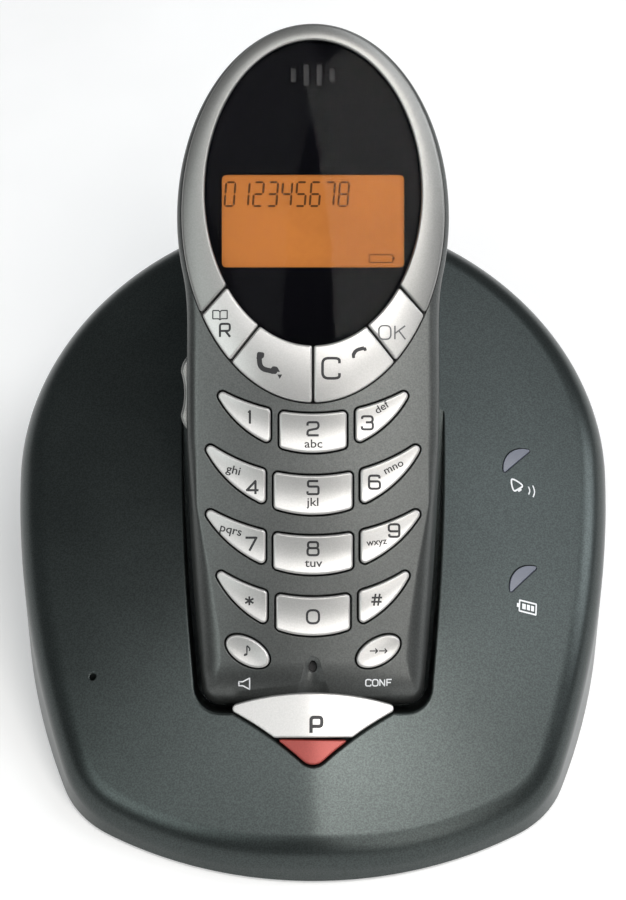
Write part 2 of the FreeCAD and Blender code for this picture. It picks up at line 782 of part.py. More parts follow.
def battery_cover():
    """Sliding door over the cells, flush with the rear face, with three grip ribs."""
    middle = sum(DOOR_SPAN) / 2
    length = DOOR_SPAN[1] - DOOR_SPAN[0] - 2 * DOOR_GAP
    width = 2 * (DOOR_HALF_WIDTH - DOOR_GAP)
    door = block((0, middle), (width, length), 0, DOOR_THICKNESS - DOOR_SKIM)
    places = [(0, DOOR_SPAN[1] - y) for y in DOOR_GROOVES]
    grooves = [block(p, DOOR_GROOVE_SIZE, -OVERRUN, DOOR_GROOVE_DEPTH) for p in places]
    return door.cut(grooves)


def ringer_holes():
    """Ring of sound holes behind the ringer."""
    places = [(0, RINGER_CENTRE)]
    for i in range(RINGER_HOLES):
        angle = 2 * math.pi * i / RINGER_HOLES
        across = RINGER_HOLE_RING * math.cos(angle)
        places.append((across, RINGER_CENTRE + RINGER_HOLE_RING * math.sin(angle)))
    holes = [rod(place, SOUND_HOLE_RADIUS, -OVERRUN, HANDSET_DEPTH / 4) for place in places]
    return Part.makeCompound(holes)


def pad_blocks(low, high, grow):
    """The two charging pads low on the rear face."""
    middle = sum(PAD_SPAN) / 2
    size = (PAD_EDGES[1] - PAD_EDGES[0] + 2 * grow, PAD_SPAN[1] - PAD_SPAN[0] + 2 * grow)
    centre = sum(PAD_EDGES) / 2
    return [block((side * centre, middle), size, low, high) for side in (-1, 1)]


def pad_recesses():
    """Shallow seats for the charging pads."""
    return pad_blocks(-OVERRUN, PAD_THICKNESS, PAD_GAP)


# Handset head and insides

def ring_end_trim():
    """Plan of everything below the ring's two ends."""
    inner = along(RING_END_LINE, -LINE_OVERRUN)
    outer = along(RING_END_LINE, 1 + LINE_OVERRUN)
    floor = (outer[0], RING_CENTRE - 2 * RING_HALF_HEIGHT)
    points = [inner, outer, floor, mirrored(floor), mirrored(outer), mirrored(inner)]
    return prism(polygon(points), 0, FAR)


def bezel_ring():
    """Bright oval ring, open at the bottom where the function keys close it."""
    band = ring_band(RING_FLOOR, ABOVE_FACE, 0, 0)
    ring = band.cut([above_face(RING_RAISE), ring_end_trim()])
    return ring.makeFillet(RING_EDGE_RADIUS, highest_face(ring).Edges)


def earpiece_slots():
    """Short upright slots for sound, side by side."""
    slots = []
    count = len(EARPIECE_SLOT_HEIGHTS)
    for i, height in enumerate(EARPIECE_SLOT_HEIGHTS):
        place = ((i - (count - 1) / 2) * EARPIECE_SLOT_PITCH, EARPIECE_SLOT_CENTRE)
        slots.append(block(place, (EARPIECE_SLOT_WIDTH, height), PARTING, FAR))
    return slots


def display_window():
    """Clear oval lens."""
    lens = prism(window_oval(-WINDOW_GAP), RING_FLOOR + MASK_THICKNESS, ABOVE_FACE)
    lens = lens.cut(above_face(RING_RAISE - WINDOW_SINK))
    lens = lens.makeFillet(WINDOW_EDGE_RADIUS, highest_face(lens).Edges)
    return lens.cut(earpiece_slots())


def window_mask():
    """Black printed film behind the lens, open over the display."""
    film = prism(window_oval(-WINDOW_GAP), RING_FLOOR, RING_FLOOR + MASK_THICKNESS)
    width, height = [size / 2 for size in DISPLAY_VIEW]
    low = DISPLAY_CENTRE - height
    high = DISPLAY_CENTRE + height
    corners = [(-width, low), (width, low), (width, high), (-width, high)]
    view = softened(polygon(corners), DISPLAY_CORNER)
    return film.cut([prism(view, PARTING, FAR)] + earpiece_slots())


def lcd_module():
    """Display on the circuit board: light guide with the glass on it."""
    low = BOARD_LEVEL + BOARD_THICKNESS
    middle = low + DISPLAY_GUIDE_THICKNESS
    guide = block((0, DISPLAY_CENTRE), DISPLAY_BODY, low, middle)
    high = RING_FLOOR - RING_FLOOR_THICKNESS - DISPLAY_GLASS_GAP
    return guide.fuse(block((0, DISPLAY_CENTRE), DISPLAY_GLASS, middle, high))


def earpiece_speaker():
    """Round receiver with a domed front plate."""
    low = BOARD_LEVEL + BOARD_THICKNESS
    high = RING_FLOOR - RING_FLOOR_THICKNESS
    place = (0, EARPIECE_CENTRE)
    can = rod(place, EARPIECE_RADIUS, low, high - EARPIECE_STEP)
    return can.fuse(rod(place, EARPIECE_PLATE_RADIUS, low, high - EARPIECE_GAP))


def handset_circuit_board():
    """Main board, clamped between the screw bosses."""
    outline = handset_wire(-HANDSET_WALL - BOARD_EDGE_GAP)
    board = prism(outline, BOARD_LEVEL, BOARD_LEVEL + BOARD_THICKNESS)
    bore = HANDSET_SCREW_RADIUS + 2 * SCREW_CLEARANCE
    return board.cut([rod(place, bore, PARTING, HANDSET_PILOT_TIP) for place in HANDSET_SCREWS])


def key_mat():
    """Rubber mat with one contact nub under each key."""
    low, high = MAT_LEVELS
    board = BOARD_LEVEL + BOARD_THICKNESS
    sheet = prism(handset_wire(-HANDSET_WALL - MAT_EDGE_GAP), low, high)
    sheet = sheet.common(block((0, MAT_CENTRE), MAT_SIZE, low, high))
    nubs = []
    for key in list(digit_and_oval_keys().values()) + list(function_keys().values()):
        under = lowest_face(key).CenterOfMass
        nubs.append(rod((under.x, under.y), MAT_NUB_RADIUS, board + MAT_NUB_GAP, low))
    feet = [block(place, MAT_FOOT_SIZE, board, low) for place in MAT_FEET]
    mat = sheet.fuse(nubs + feet)
    holes = [rod(place, FRONT_BOSS_RADIUS + MAT_HOLE_GAP, PARTING, FAR) for place in HANDSET_SCREWS]
    return mat.cut(holes + [rod((0, MIC_CENTRE), MIC_RADIUS + MAT_HOLE_GAP, PARTING, FAR)])


def handset_radio_shield():
    """Folded tin box over the radio, behind the board."""
    low = BOARD_LEVEL - HANDSET_SHIELD_DEPTH
    outer = block(HANDSET_SHIELD_CENTRE, HANDSET_SHIELD_SIZE, low, BOARD_LEVEL)
    size = [side - 2 * SHIELD_WALL for side in HANDSET_SHIELD_SIZE]
    return outer.cut(block(HANDSET_SHIELD_CENTRE, size, low + SHIELD_WALL, BOARD_LEVEL))


def microphone():
    """Capsule behind the hole at the bottom of the face."""
    return rod((0, MIC_CENTRE), MIC_RADIUS, BOARD_LEVEL + BOARD_THICKNESS, MIC_TOP)


def battery_cells():
    """Two small round cells, one turned end for end."""
    along_handset = Vector(0, 1, 0)
    can_length = CELL_LENGTH - CELL_CAP_LENGTH
    cells = []
    for side, cap_start in ((-1, -CELL_CAP_LENGTH), (1, can_length)):
        start = Vector(side * CELL_OFFSET, CELL_BOTTOM, CELL_LEVEL)
        can = Part.makeCylinder(CELL_RADIUS, can_length, start, along_handset)
        cap_place = start + along_handset * cap_start
        cap = Part.makeCylinder(CELL_CAP_RADIUS, CELL_CAP_LENGTH, cap_place, along_handset)
        cells.append(can.fuse(cap))
    return Part.makeCompound(cells)


def battery_contacts():
    """Four spring plates at the ends of the tray."""
    near = CELL_BOTTOM - BATTERY_PLATE_OFFSET
    far = CELL_BOTTOM + CELL_LENGTH + BATTERY_PLATE_OFFSET
    places = [(side * CELL_OFFSET, y) for side in (-1, 1) for y in (near, far)]
    plates = [block(place, BATTERY_PLATE_SIZE, *BATTERY_PLATE_LEVELS) for place in places]
    return Part.makeCompound(plates)


def ringer_speaker():
    """Flat ringer on the inside of the rear shell."""
    level = rear_level(0, RINGER_CENTRE + RINGER_RADIUS) + HANDSET_WALL
    return rod((0, RINGER_CENTRE), RINGER_RADIUS, level, level + RINGER_DEPTH)


def handset_screws():
    """Four screws from behind."""
    seat = HANDSET_SCREW_SEAT
    screws = []
    for place in HANDSET_SCREWS:
        head = rod(place, HANDSET_SCREW_HEAD, seat - HANDSET_SCREW_HEAD_DEPTH, seat)
        shank = rod(place, HANDSET_SCREW_RADIUS, seat - SCREW_CLEARANCE, HANDSET_SCREW_TIP)
        screws.append(head.fuse(shank))
    return Part.makeCompound(screws)


# Base outline, surface and pocket

def corner_centre():
    """Centre of the corner arc, which touches the front arc and the side arc from inside."""
    front = Vector(0, BASE_FRONT + FRONT_RADIUS, 0)
    side = Vector(BASE_HALF_WIDTH - SIDE_RADIUS, BASE_WIDEST, 0)
    near = FRONT_RADIUS - CORNER_RADIUS
    far = SIDE_RADIUS - CORNER_RADIUS
    between = side - front
    gap = between.Length
    share = (near ** 2 - far ** 2 + gap ** 2) / (2 * gap)
    height = math.sqrt(near ** 2 - share ** 2)
    across = Vector(-between.y, between.x, 0) / gap
    choices = [front + between * (share / gap) + across * (sign * height) for sign in (-1, 1)]
    return min(choices, key=lambda point: point.y)


def base_wire(inset=0.0):
    """Outline of the base."""
    front = Vector(0, BASE_FRONT + FRONT_RADIUS, 0)
    side = Vector(BASE_HALF_WIDTH - SIDE_RADIUS, BASE_WIDEST, 0)
    corner = corner_centre()
    to_corner = (corner - front).normalize()
    to_side = (corner - side).normalize()
    radius = CORNER_RADIUS - inset
    start = front + Vector(0, inset - FRONT_RADIUS, 0)
    first = corner + to_corner * radius
    second = corner + to_side * radius
    widest = Vector(BASE_HALF_WIDTH - inset, BASE_WIDEST, 0)
    mid_front = front + (to_corner + Vector(0, -1, 0)).normalize() * (FRONT_RADIUS - inset)
    mid_corner = corner + (to_corner + to_side).normalize() * radius
    mid_side = side + (to_side + Vector(1, 0, 0)).normalize() * (SIDE_RADIUS - inset)
    runs = ((start, mid_front, first), (first, mid_corner, second), (second, mid_side, widest))
    right = [Part.Arc(*run).toShape() for run in runs]
    left = [edge.mirror(Vector(0, 0, 0), Vector(1, 0, 0)) for edge in right]
    depth = BASE_BACK - BASE_WIDEST - inset
    back = Part.Ellipse(Vector(0, BASE_WIDEST, 0), BASE_HALF_WIDTH - inset, depth)
    crown = Part.ArcOfEllipse(back, 0, math.pi).toShape()
    return Part.Wire(Part.__sortEdges__(right + left + [crown]))


def base_level(x, y):
    """Top of the base: a slope that levels out backwards, falling away from a soft crease."""
    run = y - BASE_FRONT
    length = BASE_BACK - BASE_FRONT
    rise = FRONT_SLOPE * run - (FRONT_SLOPE - BACK_SLOPE) * run * run / (2 * length)
    crease = CREASE_SLOPE * (math.sqrt(x * x + CREASE_SOFTNESS ** 2) - CREASE_SOFTNESS)
    return FRONT_HEIGHT + rise - crease - x * x / (2 * ACROSS_RADIUS)


@lru_cache
def above_base(lift):
    """Everything above the base's top surface, moved up by lift."""
    shares = evenly(-1, 1, 29)
    xs = [62 * share * abs(share) for share in shares]
    return solid_above(lambda x, y: base_level(x, y) + lift, xs, evenly(-45, 95, 15))


def pocket_prism(grow, floor):
    """Space round the seated handset, open to the front and the top."""
    return stand(prism(handset_wire(POCKET_GAP + grow), floor, ABOVE_BASE))


def paging_wire(grow=0.0):
    """Shield-shaped outline of the paging key."""
    tip = PAGING_TIP
    middle, end = PAGING_FLANK
    edges = [
        arc(mirrored(tip), (0, PAGING_TOP), tip),
        arc(tip, middle, end),
        arc(end, (0, PAGING_APEX), mirrored(end)),
        arc(mirrored(end), mirrored(middle), mirrored(tip)),
    ]
    return softened(Part.Wire(edges), PAGING_CORNER, grow)


# Base casing and insides

def rear_jack_openings():
    """Cut-outs in the back wall for the two sockets."""
    cuts = []
    for x, size in ((LINE_JACK_X, LINE_JACK_SIZE), (POWER_JACK_X, POWER_JACK_SIZE)):
        low = JACK_BOTTOM - JACK_CLEARANCE
        high = JACK_BOTTOM + size[2] + JACK_CLEARANCE
        width = size[0] + 2 * JACK_CLEARANCE
        cuts.append(block((x, BASE_BACK), (width, JACK_OPENING_DEPTH), low, high))
    return cuts


def contact_slots():
    """Slots in the pocket floor for the charging springs."""
    low = -POCKET_FLOOR_GAP - POCKET_WALL - OVERRUN
    places = [(side * CONTACT_OFFSET, CONTACT_CENTRE) for side in (-1, 1)]
    return [stand(block(place, CONTACT_SLOT_SIZE, low, OVERRUN)) for place in places]


def lens_wire(place, grow=0.0):
    """Half-moon outline of an indicator lens."""
    tip = LENS_HALF_LENGTH
    edges = [arc((-tip, 0), (0, LENS_WIDTH), (tip, 0)), line((tip, 0), (-tip, 0))]
    wire = softened(Part.Wire(edges), LENS_CORNER, grow)
    wire.Placement = Placement(flat(place), Rotation(Vector(0, 0, 1), LENS_TURN))
    return wire


def base_bosses(outer):
    """Screw bosses inside the base."""
    low = COVER_LEVELS[1]
    return [rod(place, BASE_BOSS_RADIUS, low, ABOVE_BASE).common(outer) for place in BASE_SCREWS]


def switch_shelf(outer):
    """Two ribs in front of the pocket wall that carry the paging switch's board."""
    top = SWITCH_LEVEL - SWITCH_BOARD_THICKNESS
    places = [(side * SHELF_RIB_OFFSET, SHELF_RIB_CENTRE) for side in (-1, 1)]
    ribs = [block(place, SHELF_RIB_SIZE, top - SHELF_RIB_HEIGHT, top) for place in places]
    return [stand(rib).common(outer) for rib in ribs]


def base_top_shell():
    """Top of the base: domed shell with the handset pocket let into it."""
    outer = base_body(0, BASE_BOTTOM, 0)
    inner = base_body(BASE_WALL, BASE_BOTTOM - OVERRUN, -BASE_TOP_WALL)
    above_cover = prism(base_wire(BASE_WALL / 2), COVER_LEVELS[1] + TUB_COVER_GAP, ABOVE_BASE)
    tub = pocket_prism(POCKET_WALL, -POCKET_FLOOR_GAP - POCKET_WALL)
    tub = tub.common(outer).common(above_cover)
    shell = outer.cut(inner)
    shell = shell.fuse([tub] + base_bosses(outer) + switch_shelf(outer))
    return shell.cut(base_openings())


def base_body(inset, bottom, lift):
    """The base as a filled body with a rolled top edge, inset all round."""
    body = prism(base_wire(inset), bottom, ABOVE_BASE).cut(above_base(lift))
    return body.makeFillet(BASE_RIM_RADIUS - inset, highest_face(body).Edges)


def base_openings():
    """Everything cut out of the base's shell."""
    paging = stand(prism(paging_wire(PAGING_GAP), PAGING_OPENING_LEVEL, ABOVE_BASE))
    cuts = [pocket_prism(0, -POCKET_FLOOR_GAP), paging]
    cuts += rear_jack_openings() + contact_slots()
    for place in LED_PLACES.values():
        cuts.append(prism(lens_wire(place, LENS_GAP), LENS_OPENING_LEVEL, ABOVE_BASE))
    cuts.append(rod(SOUND_HOLE_PLACE, SOUND_HOLE_RADIUS, SOUND_HOLE_LEVEL, ABOVE_BASE))
    tip = COVER_LEVELS[1] + BASE_SCREW_LENGTH
    for place in BASE_SCREWS:
        cuts.append(rod(place, BASE_SCREW_RADIUS + SCREW_CLEARANCE, 0, tip))
    return cuts


def base_bottom_cover():
    """Flat cover inside the shell's lower edge, with posts for the board."""
    low, high = COVER_LEVELS
    plate = prism(base_wire(BASE_WALL + COVER_GAP), low, high)
    posts = [rod(place, BOARD_POST_RADIUS, high, BASE_BOARD_LEVEL) for place in BOARD_POSTS]
    plate = plate.fuse(posts)
    below, above = low - OVERRUN, high + OVERRUN
    places = [(x, VENT_CENTRE) for x in evenly(-VENT_REACH, VENT_REACH, VENT_COUNT)]
    vents = [block(place, VENT_SIZE, below, above) for place in places]
    bore = BASE_SCREW_RADIUS + COVER_GAP
    return plate.cut(vents + [rod(place, bore, below, above) for place in BASE_SCREWS])


def base_feet():
    """Four round rubber feet."""
    feet = []
    for place in FOOT_PLACES:
        foot = rod(place, FOOT_RADIUS, 0, COVER_LEVELS[0])
        feet.append(foot.makeFillet(FOOT_EDGE_RADIUS, lowest_face(foot).Edges))
    return Part.makeCompound(feet)


def base_screws():
    """Four screws through the cover into the shell's bosses."""
    screws = []
    for place in BASE_SCREWS:
        head = rod(place, BASE_SCREW_HEAD, BASE_SCREW_HEAD_LEVEL, COVER_LEVELS[0])
        start = BASE_SCREW_HEAD_LEVEL + SCREW_CLEARANCE
        shank = rod(place, BASE_SCREW_RADIUS, start, BASE_SCREW_LENGTH)
        screws.append(head.fuse(shank))
    return Part.makeCompound(screws)


def base_circuit_board():
    """Board with a wing each side of the pocket for the lamps and the buzzer."""
    low = BASE_BOARD_LEVEL
    high = low + BASE_BOARD_THICKNESS
    plans = (BOARD_MIDDLE, BOARD_RIGHT_WING, BOARD_LEFT_WING)
    board = union([block(centre, size, low, high) for centre, size in plans])
    board = board.common(prism(base_wire(BASE_WALL + BASE_BOSS_RADIUS), low, high))
    bore = BASE_BOSS_RADIUS + BOARD_HOLE_GAP
    return board.cut([rod(p, bore, low - OVERRUN, high + OVERRUN) for p in BASE_SCREWS])


def base_radio_shield():
    """Folded tin box over the radio."""
    low = BASE_BOARD_LEVEL + BASE_BOARD_THICKNESS
    outer = block(BASE_SHIELD_CENTRE, BASE_SHIELD_SIZE, low, low + BASE_SHIELD_HEIGHT)
    size = [side - 2 * SHIELD_WALL for side in BASE_SHIELD_SIZE]
    top = low + BASE_SHIELD_HEIGHT - SHIELD_WALL
    return outer.cut(block(BASE_SHIELD_CENTRE, size, low, top))


def base_antenna():
    """Small upright aerial board."""
    low = BASE_BOARD_LEVEL + BASE_BOARD_THICKNESS
    return block(AERIAL_PLACE, AERIAL_SIZE, low, low + AERIAL_HEIGHT)


def base_leds():
    """Two indicator lamps under their light pipes."""
    low = BASE_BOARD_LEVEL + BASE_BOARD_THICKNESS
    lamps = [rod(place, LED_RADIUS, low, low + LED_HEIGHT) for place in LED_PLACES.values()]
    return Part.makeCompound(lamps)


def light_pipe(place):
    """Half-moon lens flush with the top, on a stem that reaches down to its lamp."""
    above = above_base(LENS_RAISE)
    below = above_base(-BASE_TOP_WALL - LENS_ROOT)
    head = prism(lens_wire(place), LENS_OPENING_LEVEL, ABOVE_BASE).cut(above).common(below)
    turn = math.radians(LENS_TURN)
    inwards = LENS_WIDTH / 2
    centre = (place[0] - inwards * math.sin(turn), place[1] + inwards * math.cos(turn))
    low = BASE_BOARD_LEVEL + BASE_BOARD_THICKNESS + LED_HEIGHT + PIPE_GAP
    stem = rod(centre, PIPE_RADIUS, low, ABOVE_BASE)
    stem = stem.cut(above_base(-BASE_TOP_WALL - PIPE_ROOT))
    return head.fuse(stem)


def base_buzzer():
    """Round buzzer near the small hole."""
    low = BASE_BOARD_LEVEL + BASE_BOARD_THICKNESS
    high = low + BUZZER_HEIGHT
    can = rod(BUZZER_PLACE, BUZZER_RADIUS, low, high)
    return can.cut(rod(BUZZER_PLACE, BUZZER_HOLE_RADIUS, high - OVERRUN, high + OVERRUN))


def contact_holder():
    """Block under the pocket floor that holds the charging springs."""
    top = -POCKET_FLOOR_GAP - POCKET_WALL
    body = block((0, CONTACT_CENTRE + HOLDER_OFFSET), HOLDER_SIZE, top - HOLDER_DEPTH, top)
    places = [(side * CONTACT_OFFSET, CONTACT_CENTRE) for side in (-1, 1)]
    slots = [block(p, HOLDER_SLOT_SIZE, top - OVERRUN, top + OVERRUN) for p in places]
    return stand(body.cut(slots))


def charge_contacts():
    """Two bent spring strips whose crowns stand in the pocket floor's slots."""
    low = -POCKET_FLOOR_GAP - POCKET_WALL - CONTACT_TAIL_DROP
    high = -CONTACT_STANDOFF
    runs = (
        (CONTACT_TAIL_OFFSET, CONTACT_TAIL_LENGTH, low, low + CONTACT_THICKNESS),
        (CONTACT_LEG_OFFSET, CONTACT_THICKNESS, low, high),
        (0, CONTACT_CROWN_LENGTH, high - CONTACT_THICKNESS, high),
    )
    strips = []
    for side in (-1, 1):
        pieces = []
        for offset, length, bottom, top in runs:
            place = (side * CONTACT_OFFSET, CONTACT_CENTRE + offset)
            pieces.append(block(place, (CONTACT_WIDTH, length), bottom, top))
        strips.append(stand(union(pieces)))
    return Part.makeCompound(strips)


def jack_body(x, size):
    """Block of a socket that stands on the board with its face in the back wall."""
    width, depth, height = size
    centre = (x, JACK_FACE - depth / 2)
    return block(centre, (width, depth), JACK_BOTTOM, JACK_BOTTOM + height)


def line_jack():
    """Modular socket for the telephone line."""
    hole_width, hole_depth, hole_height = LINE_JACK_HOLE
    latch_width, latch_height = LINE_JACK_LATCH
    low = JACK_BOTTOM + LINE_JACK_SILL
    high = low + hole_height
    depth = hole_depth + OVERRUN
    centre = (LINE_JACK_X, JACK_FACE - hole_depth + depth / 2)
    hole = block(centre, (hole_width, depth), low, high)
    latch = block(centre, (latch_width, depth), low, high + latch_height)
    return jack_body(LINE_JACK_X, LINE_JACK_SIZE).cut([hole, latch])


def power_jack():
    """Round low-voltage inlet with a centre pin."""
    level = JACK_BOTTOM + POWER_JACK_SIZE[2] / 2
    back = JACK_FACE - POWER_JACK_DEPTH
    outwards = Vector(0, 1, 0)
    start = Vector(POWER_JACK_X, back, level)
    bore = Part.makeCylinder(POWER_JACK_BORE, POWER_JACK_DEPTH + OVERRUN, start, outwards)
    root = Vector(POWER_JACK_X, back - POWER_PIN_ROOT, level)
    pin = Part.makeCylinder(POWER_JACK_PIN, POWER_PIN_LENGTH, root, outwards)
    return jack_body(POWER_JACK_X, POWER_JACK_SIZE).cut(bore).fuse(pin)


def paging_switch():
    """Push switch on a small board under the paging key."""
    low = SWITCH_LEVEL - SWITCH_BOARD_THICKNESS
    top = SWITCH_LEVEL + SWITCH_HEIGHT
    centre = (0, PAGING_STEM_CENTRE)
    board = block((0, SWITCH_BOARD_CENTRE), SWITCH_BOARD_SIZE, low, SWITCH_LEVEL)
    body = block(centre, (2 * SWITCH_HALF, 2 * SWITCH_HALF), SWITCH_LEVEL, top)
    plunger = rod(centre, SWITCH_PLUNGER_RADIUS, SWITCH_LEVEL, top + SWITCH_PLUNGER)
    return stand(union([board, body, plunger]))


@lru_cache
def paging_plate():
    """Whole paging key: a plate that follows the base's surface."""
    plate = stand(prism(paging_wire(), 0, ABOVE_BASE))
    plate = plate.cut(above_base(PAGING_RAISE))
    plate = plate.common(above_base(PAGING_RAISE - PAGING_THICKNESS))
    return plate.cut(handset_clearance())


def handset_clearance():
    """Room for the handset's rolled lower edge, with the key's travel added."""
    spare = PAGING_GAP + PAGING_TRAVEL
    body = prism(handset_wire(PAGING_GAP), -OVERRUN, ABOVE_FACE + OVERRUN).cut(above_face(spare))
    return stand(body)


def paging_split(low, high):
    """Space between two heights along the handset, wide enough for the whole paging key."""
    width = 4 * PAGING_TIP[0]
    return stand(block((0, (low + high) / 2), (width, high - low), 0, ABOVE_BASE))


def paging_key():
    """Bright upper part of the paging key, with the stem that works the switch."""
    split = PAGING_SPLIT + PAGING_SPLIT_GAP / 2
    cap = paging_plate().common(paging_split(split, 2 * PAGING_TOP))
    low = SWITCH_LEVEL + SWITCH_HEIGHT + SWITCH_PLUNGER + PAGING_TRAVEL + PAGING_REST_GAP
    stem = rod((0, PAGING_STEM_CENTRE), PAGING_STEM_RADIUS, low, ABOVE_FACE)
    arm_place = (0, PAGING_STEM_CENTRE + PAGING_ARM_OFFSET)
    arm = block(arm_place, PAGING_ARM_SIZE, low + PAGING_ARM_STEP, ABOVE_FACE)
    root = above_base(PAGING_RAISE - PAGING_THICKNESS + PAGING_ROOT)
    tip = paging_plate().common(paging_split(2 * PAGING_APEX, split))
    return cap.fuse([stand(piece).cut(root).cut(tip) for piece in (stem, arm)])


def paging_key_tip():
    """Coloured lower point of the paging key."""
    split = PAGING_SPLIT - PAGING_SPLIT_GAP / 2
    return paging_plate().common(paging_split(2 * PAGING_APEX, split))


def handset_nodes():
    """Everything that lifts off with the handset, still lying on its back."""
    nodes = {
        "handset_front_shell": handset_front_shell(),
        "handset_rear_shell": handset_rear_shell(),
        "battery_cover": battery_cover(),
        "bezel_ring": bezel_ring(),
        "display_window": display_window(),
        "window_mask": window_mask(),
        "lcd_module": lcd_module(),
        "earpiece_speaker": earpiece_speaker(),
        "key_mat": key_mat(),
        "handset_circuit_board": handset_circuit_board(),
        "handset_radio_shield": handset_radio_shield(),
        "microphone": microphone(),
        "battery_cells": battery_cells(),
        "battery_contacts": battery_contacts(),
        "handset_charge_pads": Part.makeCompound(pad_blocks(0, PAD_THICKNESS, 0)),
        "ringer_speaker": ringer_speaker(),
        "handset_screws": handset_screws(),
        "volume_rocker": volume_rocker(),
    }
    nodes.update(digit_and_oval_keys())
    nodes.update(function_keys())
    return nodes


def base_nodes():
    """Everything that stays on the table."""
    return {
        "base_top_shell": base_top_shell(),
        "base_bottom_cover": base_bottom_cover(),
        "base_feet": base_feet(),
        "base_screws": base_screws(),
        "base_circuit_board": base_circuit_board(),
        "base_radio_shield": base_radio_shield(),
        "base_antenna": base_antenna(),
        "base_leds": base_leds(),
        "light_pipe_upper": light_pipe(LED_PLACES["upper"]),
        "light_pipe_lower": light_pipe(LED_PLACES["lower"]),
        "base_buzzer": base_buzzer(),
        "contact_holder": contact_holder(),
        "charge_contacts": charge_contacts(),
        "line_jack": line_jack(),
        "power_jack": power_jack(),
        "paging_switch": paging_switch(),
        "paging_key": paging_key(),
        "paging_key_tip": paging_key_tip(),
    }


def main():
    """Write every part, with the origin under the middle of the whole phone."""
    os.makedirs("parts", exist_ok=True)
    nodes = base_nodes()
    for name, shape in handset_nodes().items():
        nodes[name] = stand(shape)
    box = FreeCAD.BoundBox()
    for name, shape in nodes.items():
        shape.translate(Vector(0, -ORIGIN_BACK, 0))
        box.add(shape.BoundBox)
        print(name, len(shape.Solids), shape.isValid(), round(shape.Volume, 1))
        shape.exportStep("parts/" + name + ".step")
    print("whole", box)


main()
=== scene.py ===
"""Cordless phone: a small handset leaning in its desk charging base.

Shapes are worked out in millimetres in two drawing frames. The base frame has X to the right, Y to
the back and Z up from the table. The handset frame lies on the handset's back: X across, Y up the
handset from its bottom end and Z out of its face. Pieces are put into the table frame in metres.
"""

import logging
import math
from collections.abc import Callable, Sequence
from dataclasses import dataclass, field
from enum import Enum

import bmesh
import bpy
import numpy as np
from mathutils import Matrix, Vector
from mathutils.geometry import delaunay_2d_cdt
from numpy.typing import NDArray


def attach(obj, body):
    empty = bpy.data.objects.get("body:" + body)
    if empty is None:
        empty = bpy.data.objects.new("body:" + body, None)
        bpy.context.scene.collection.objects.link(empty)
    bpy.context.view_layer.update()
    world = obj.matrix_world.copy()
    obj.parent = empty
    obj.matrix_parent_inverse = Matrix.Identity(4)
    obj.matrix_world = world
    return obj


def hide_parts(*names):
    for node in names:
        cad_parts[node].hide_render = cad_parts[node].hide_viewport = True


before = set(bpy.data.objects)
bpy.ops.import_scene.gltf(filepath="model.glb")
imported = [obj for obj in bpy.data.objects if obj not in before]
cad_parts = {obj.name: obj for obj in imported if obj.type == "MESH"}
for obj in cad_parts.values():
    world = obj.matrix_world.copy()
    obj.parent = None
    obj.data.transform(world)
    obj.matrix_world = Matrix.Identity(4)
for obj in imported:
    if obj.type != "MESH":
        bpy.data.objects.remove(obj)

Array = NDArray[np.float64]
Whole = NDArray[np.int64]
Height = Callable[[Array, Array], Array]
Inputs = dict[str | int, float | tuple[float, ...] | bpy.types.NodeSocket]

log = logging.getLogger("phone")

MM = 0.001  # one millimetre in metres
TINY = 1e-9  # what counts as nothing
MERGE = 1e-3  # points nearer than this become one
SLOPE_STEP = 0.01  # the step that slopes are taken over
FINE = 0.1  # spacing of the points of a drawn line
FAR = 99.0  # a reach that no part has
RECLINE = math.radians(42.0)  # how far the handset rises from the table
SEAT_HEIGHT = 6.5  # height of the handset's lower back edge
ORIGIN_BACK = 25.35  # how far behind the base frame's origin the table frame's lies
PATCH_SCALE = 45.0  # slow patches of a finish in a metre
SHARP_EDGE = math.radians(28.0)  # edges of a CAD node that turn more than this stay sharp
HANDSET_UP = np.array([0.0, math.cos(RECLINE), math.sin(RECLINE)])
HANDSET_OUT = np.array([0.0, -math.sin(RECLINE), math.cos(RECLINE)])
MIRROR = np.array([-1.0, 1.0])


class Drawn(Enum):
    """The drawing frame of a shape."""

    BASE = "base"
    HANDSET = "handset"

    def place(self, points: Array) -> Array:
        """Points of this frame in the base frame.

        Args:
            points: the points, with X, Y and Z in the last axis.

        Returns:
            The points in the base frame.
        """
        if self is Drawn.BASE:
            return points
        return self.turn(points) + np.array([0.0, 0.0, SEAT_HEIGHT])

    def turn(self, vectors: Array) -> Array:
        """Directions of this frame in the base frame.

        Args:
            vectors: the directions, with X, Y and Z in the last axis.

        Returns:
            The directions in the base frame.
        """
        if self is Drawn.BASE:
            return vectors
        across = vectors[..., :1] * np.array([1.0, 0.0, 0.0])
        return across + vectors[..., 1:2] * HANDSET_UP + vectors[..., 2:] * HANDSET_OUT


def unit(vectors: Array) -> Array:
    """Vectors scaled to length one; one without length stays as it is."""
    length = np.linalg.norm(vectors, axis=-1, keepdims=True)
    return vectors / np.where(length > TINY, length, 1.0)


def smooth(edge_low: float, edge_high: float, value: Array) -> Array:
    """Soft step from 0 to 1 between two values: three times the square less twice the cube."""
    share = np.clip((value - edge_low) / (edge_high - edge_low), 0.0, 1.0)
    return share * share * (3.0 - 2.0 * share)


def turned(degrees: float) -> Array:
    """Matrix that turns rows of plan points anticlockwise."""
    cos, sin = math.cos(math.radians(degrees)), math.sin(math.radians(degrees))
    return np.array([[cos, sin], [-sin, cos]])


def arc(centre: Sequence[float], half: Sequence[float] | float, angles: Array) -> Array:
    """Points of an oval, or of a circle of one radius, at given angles."""
    return np.asarray(centre) + np.stack([np.cos(angles), np.sin(angles)], 1) * half


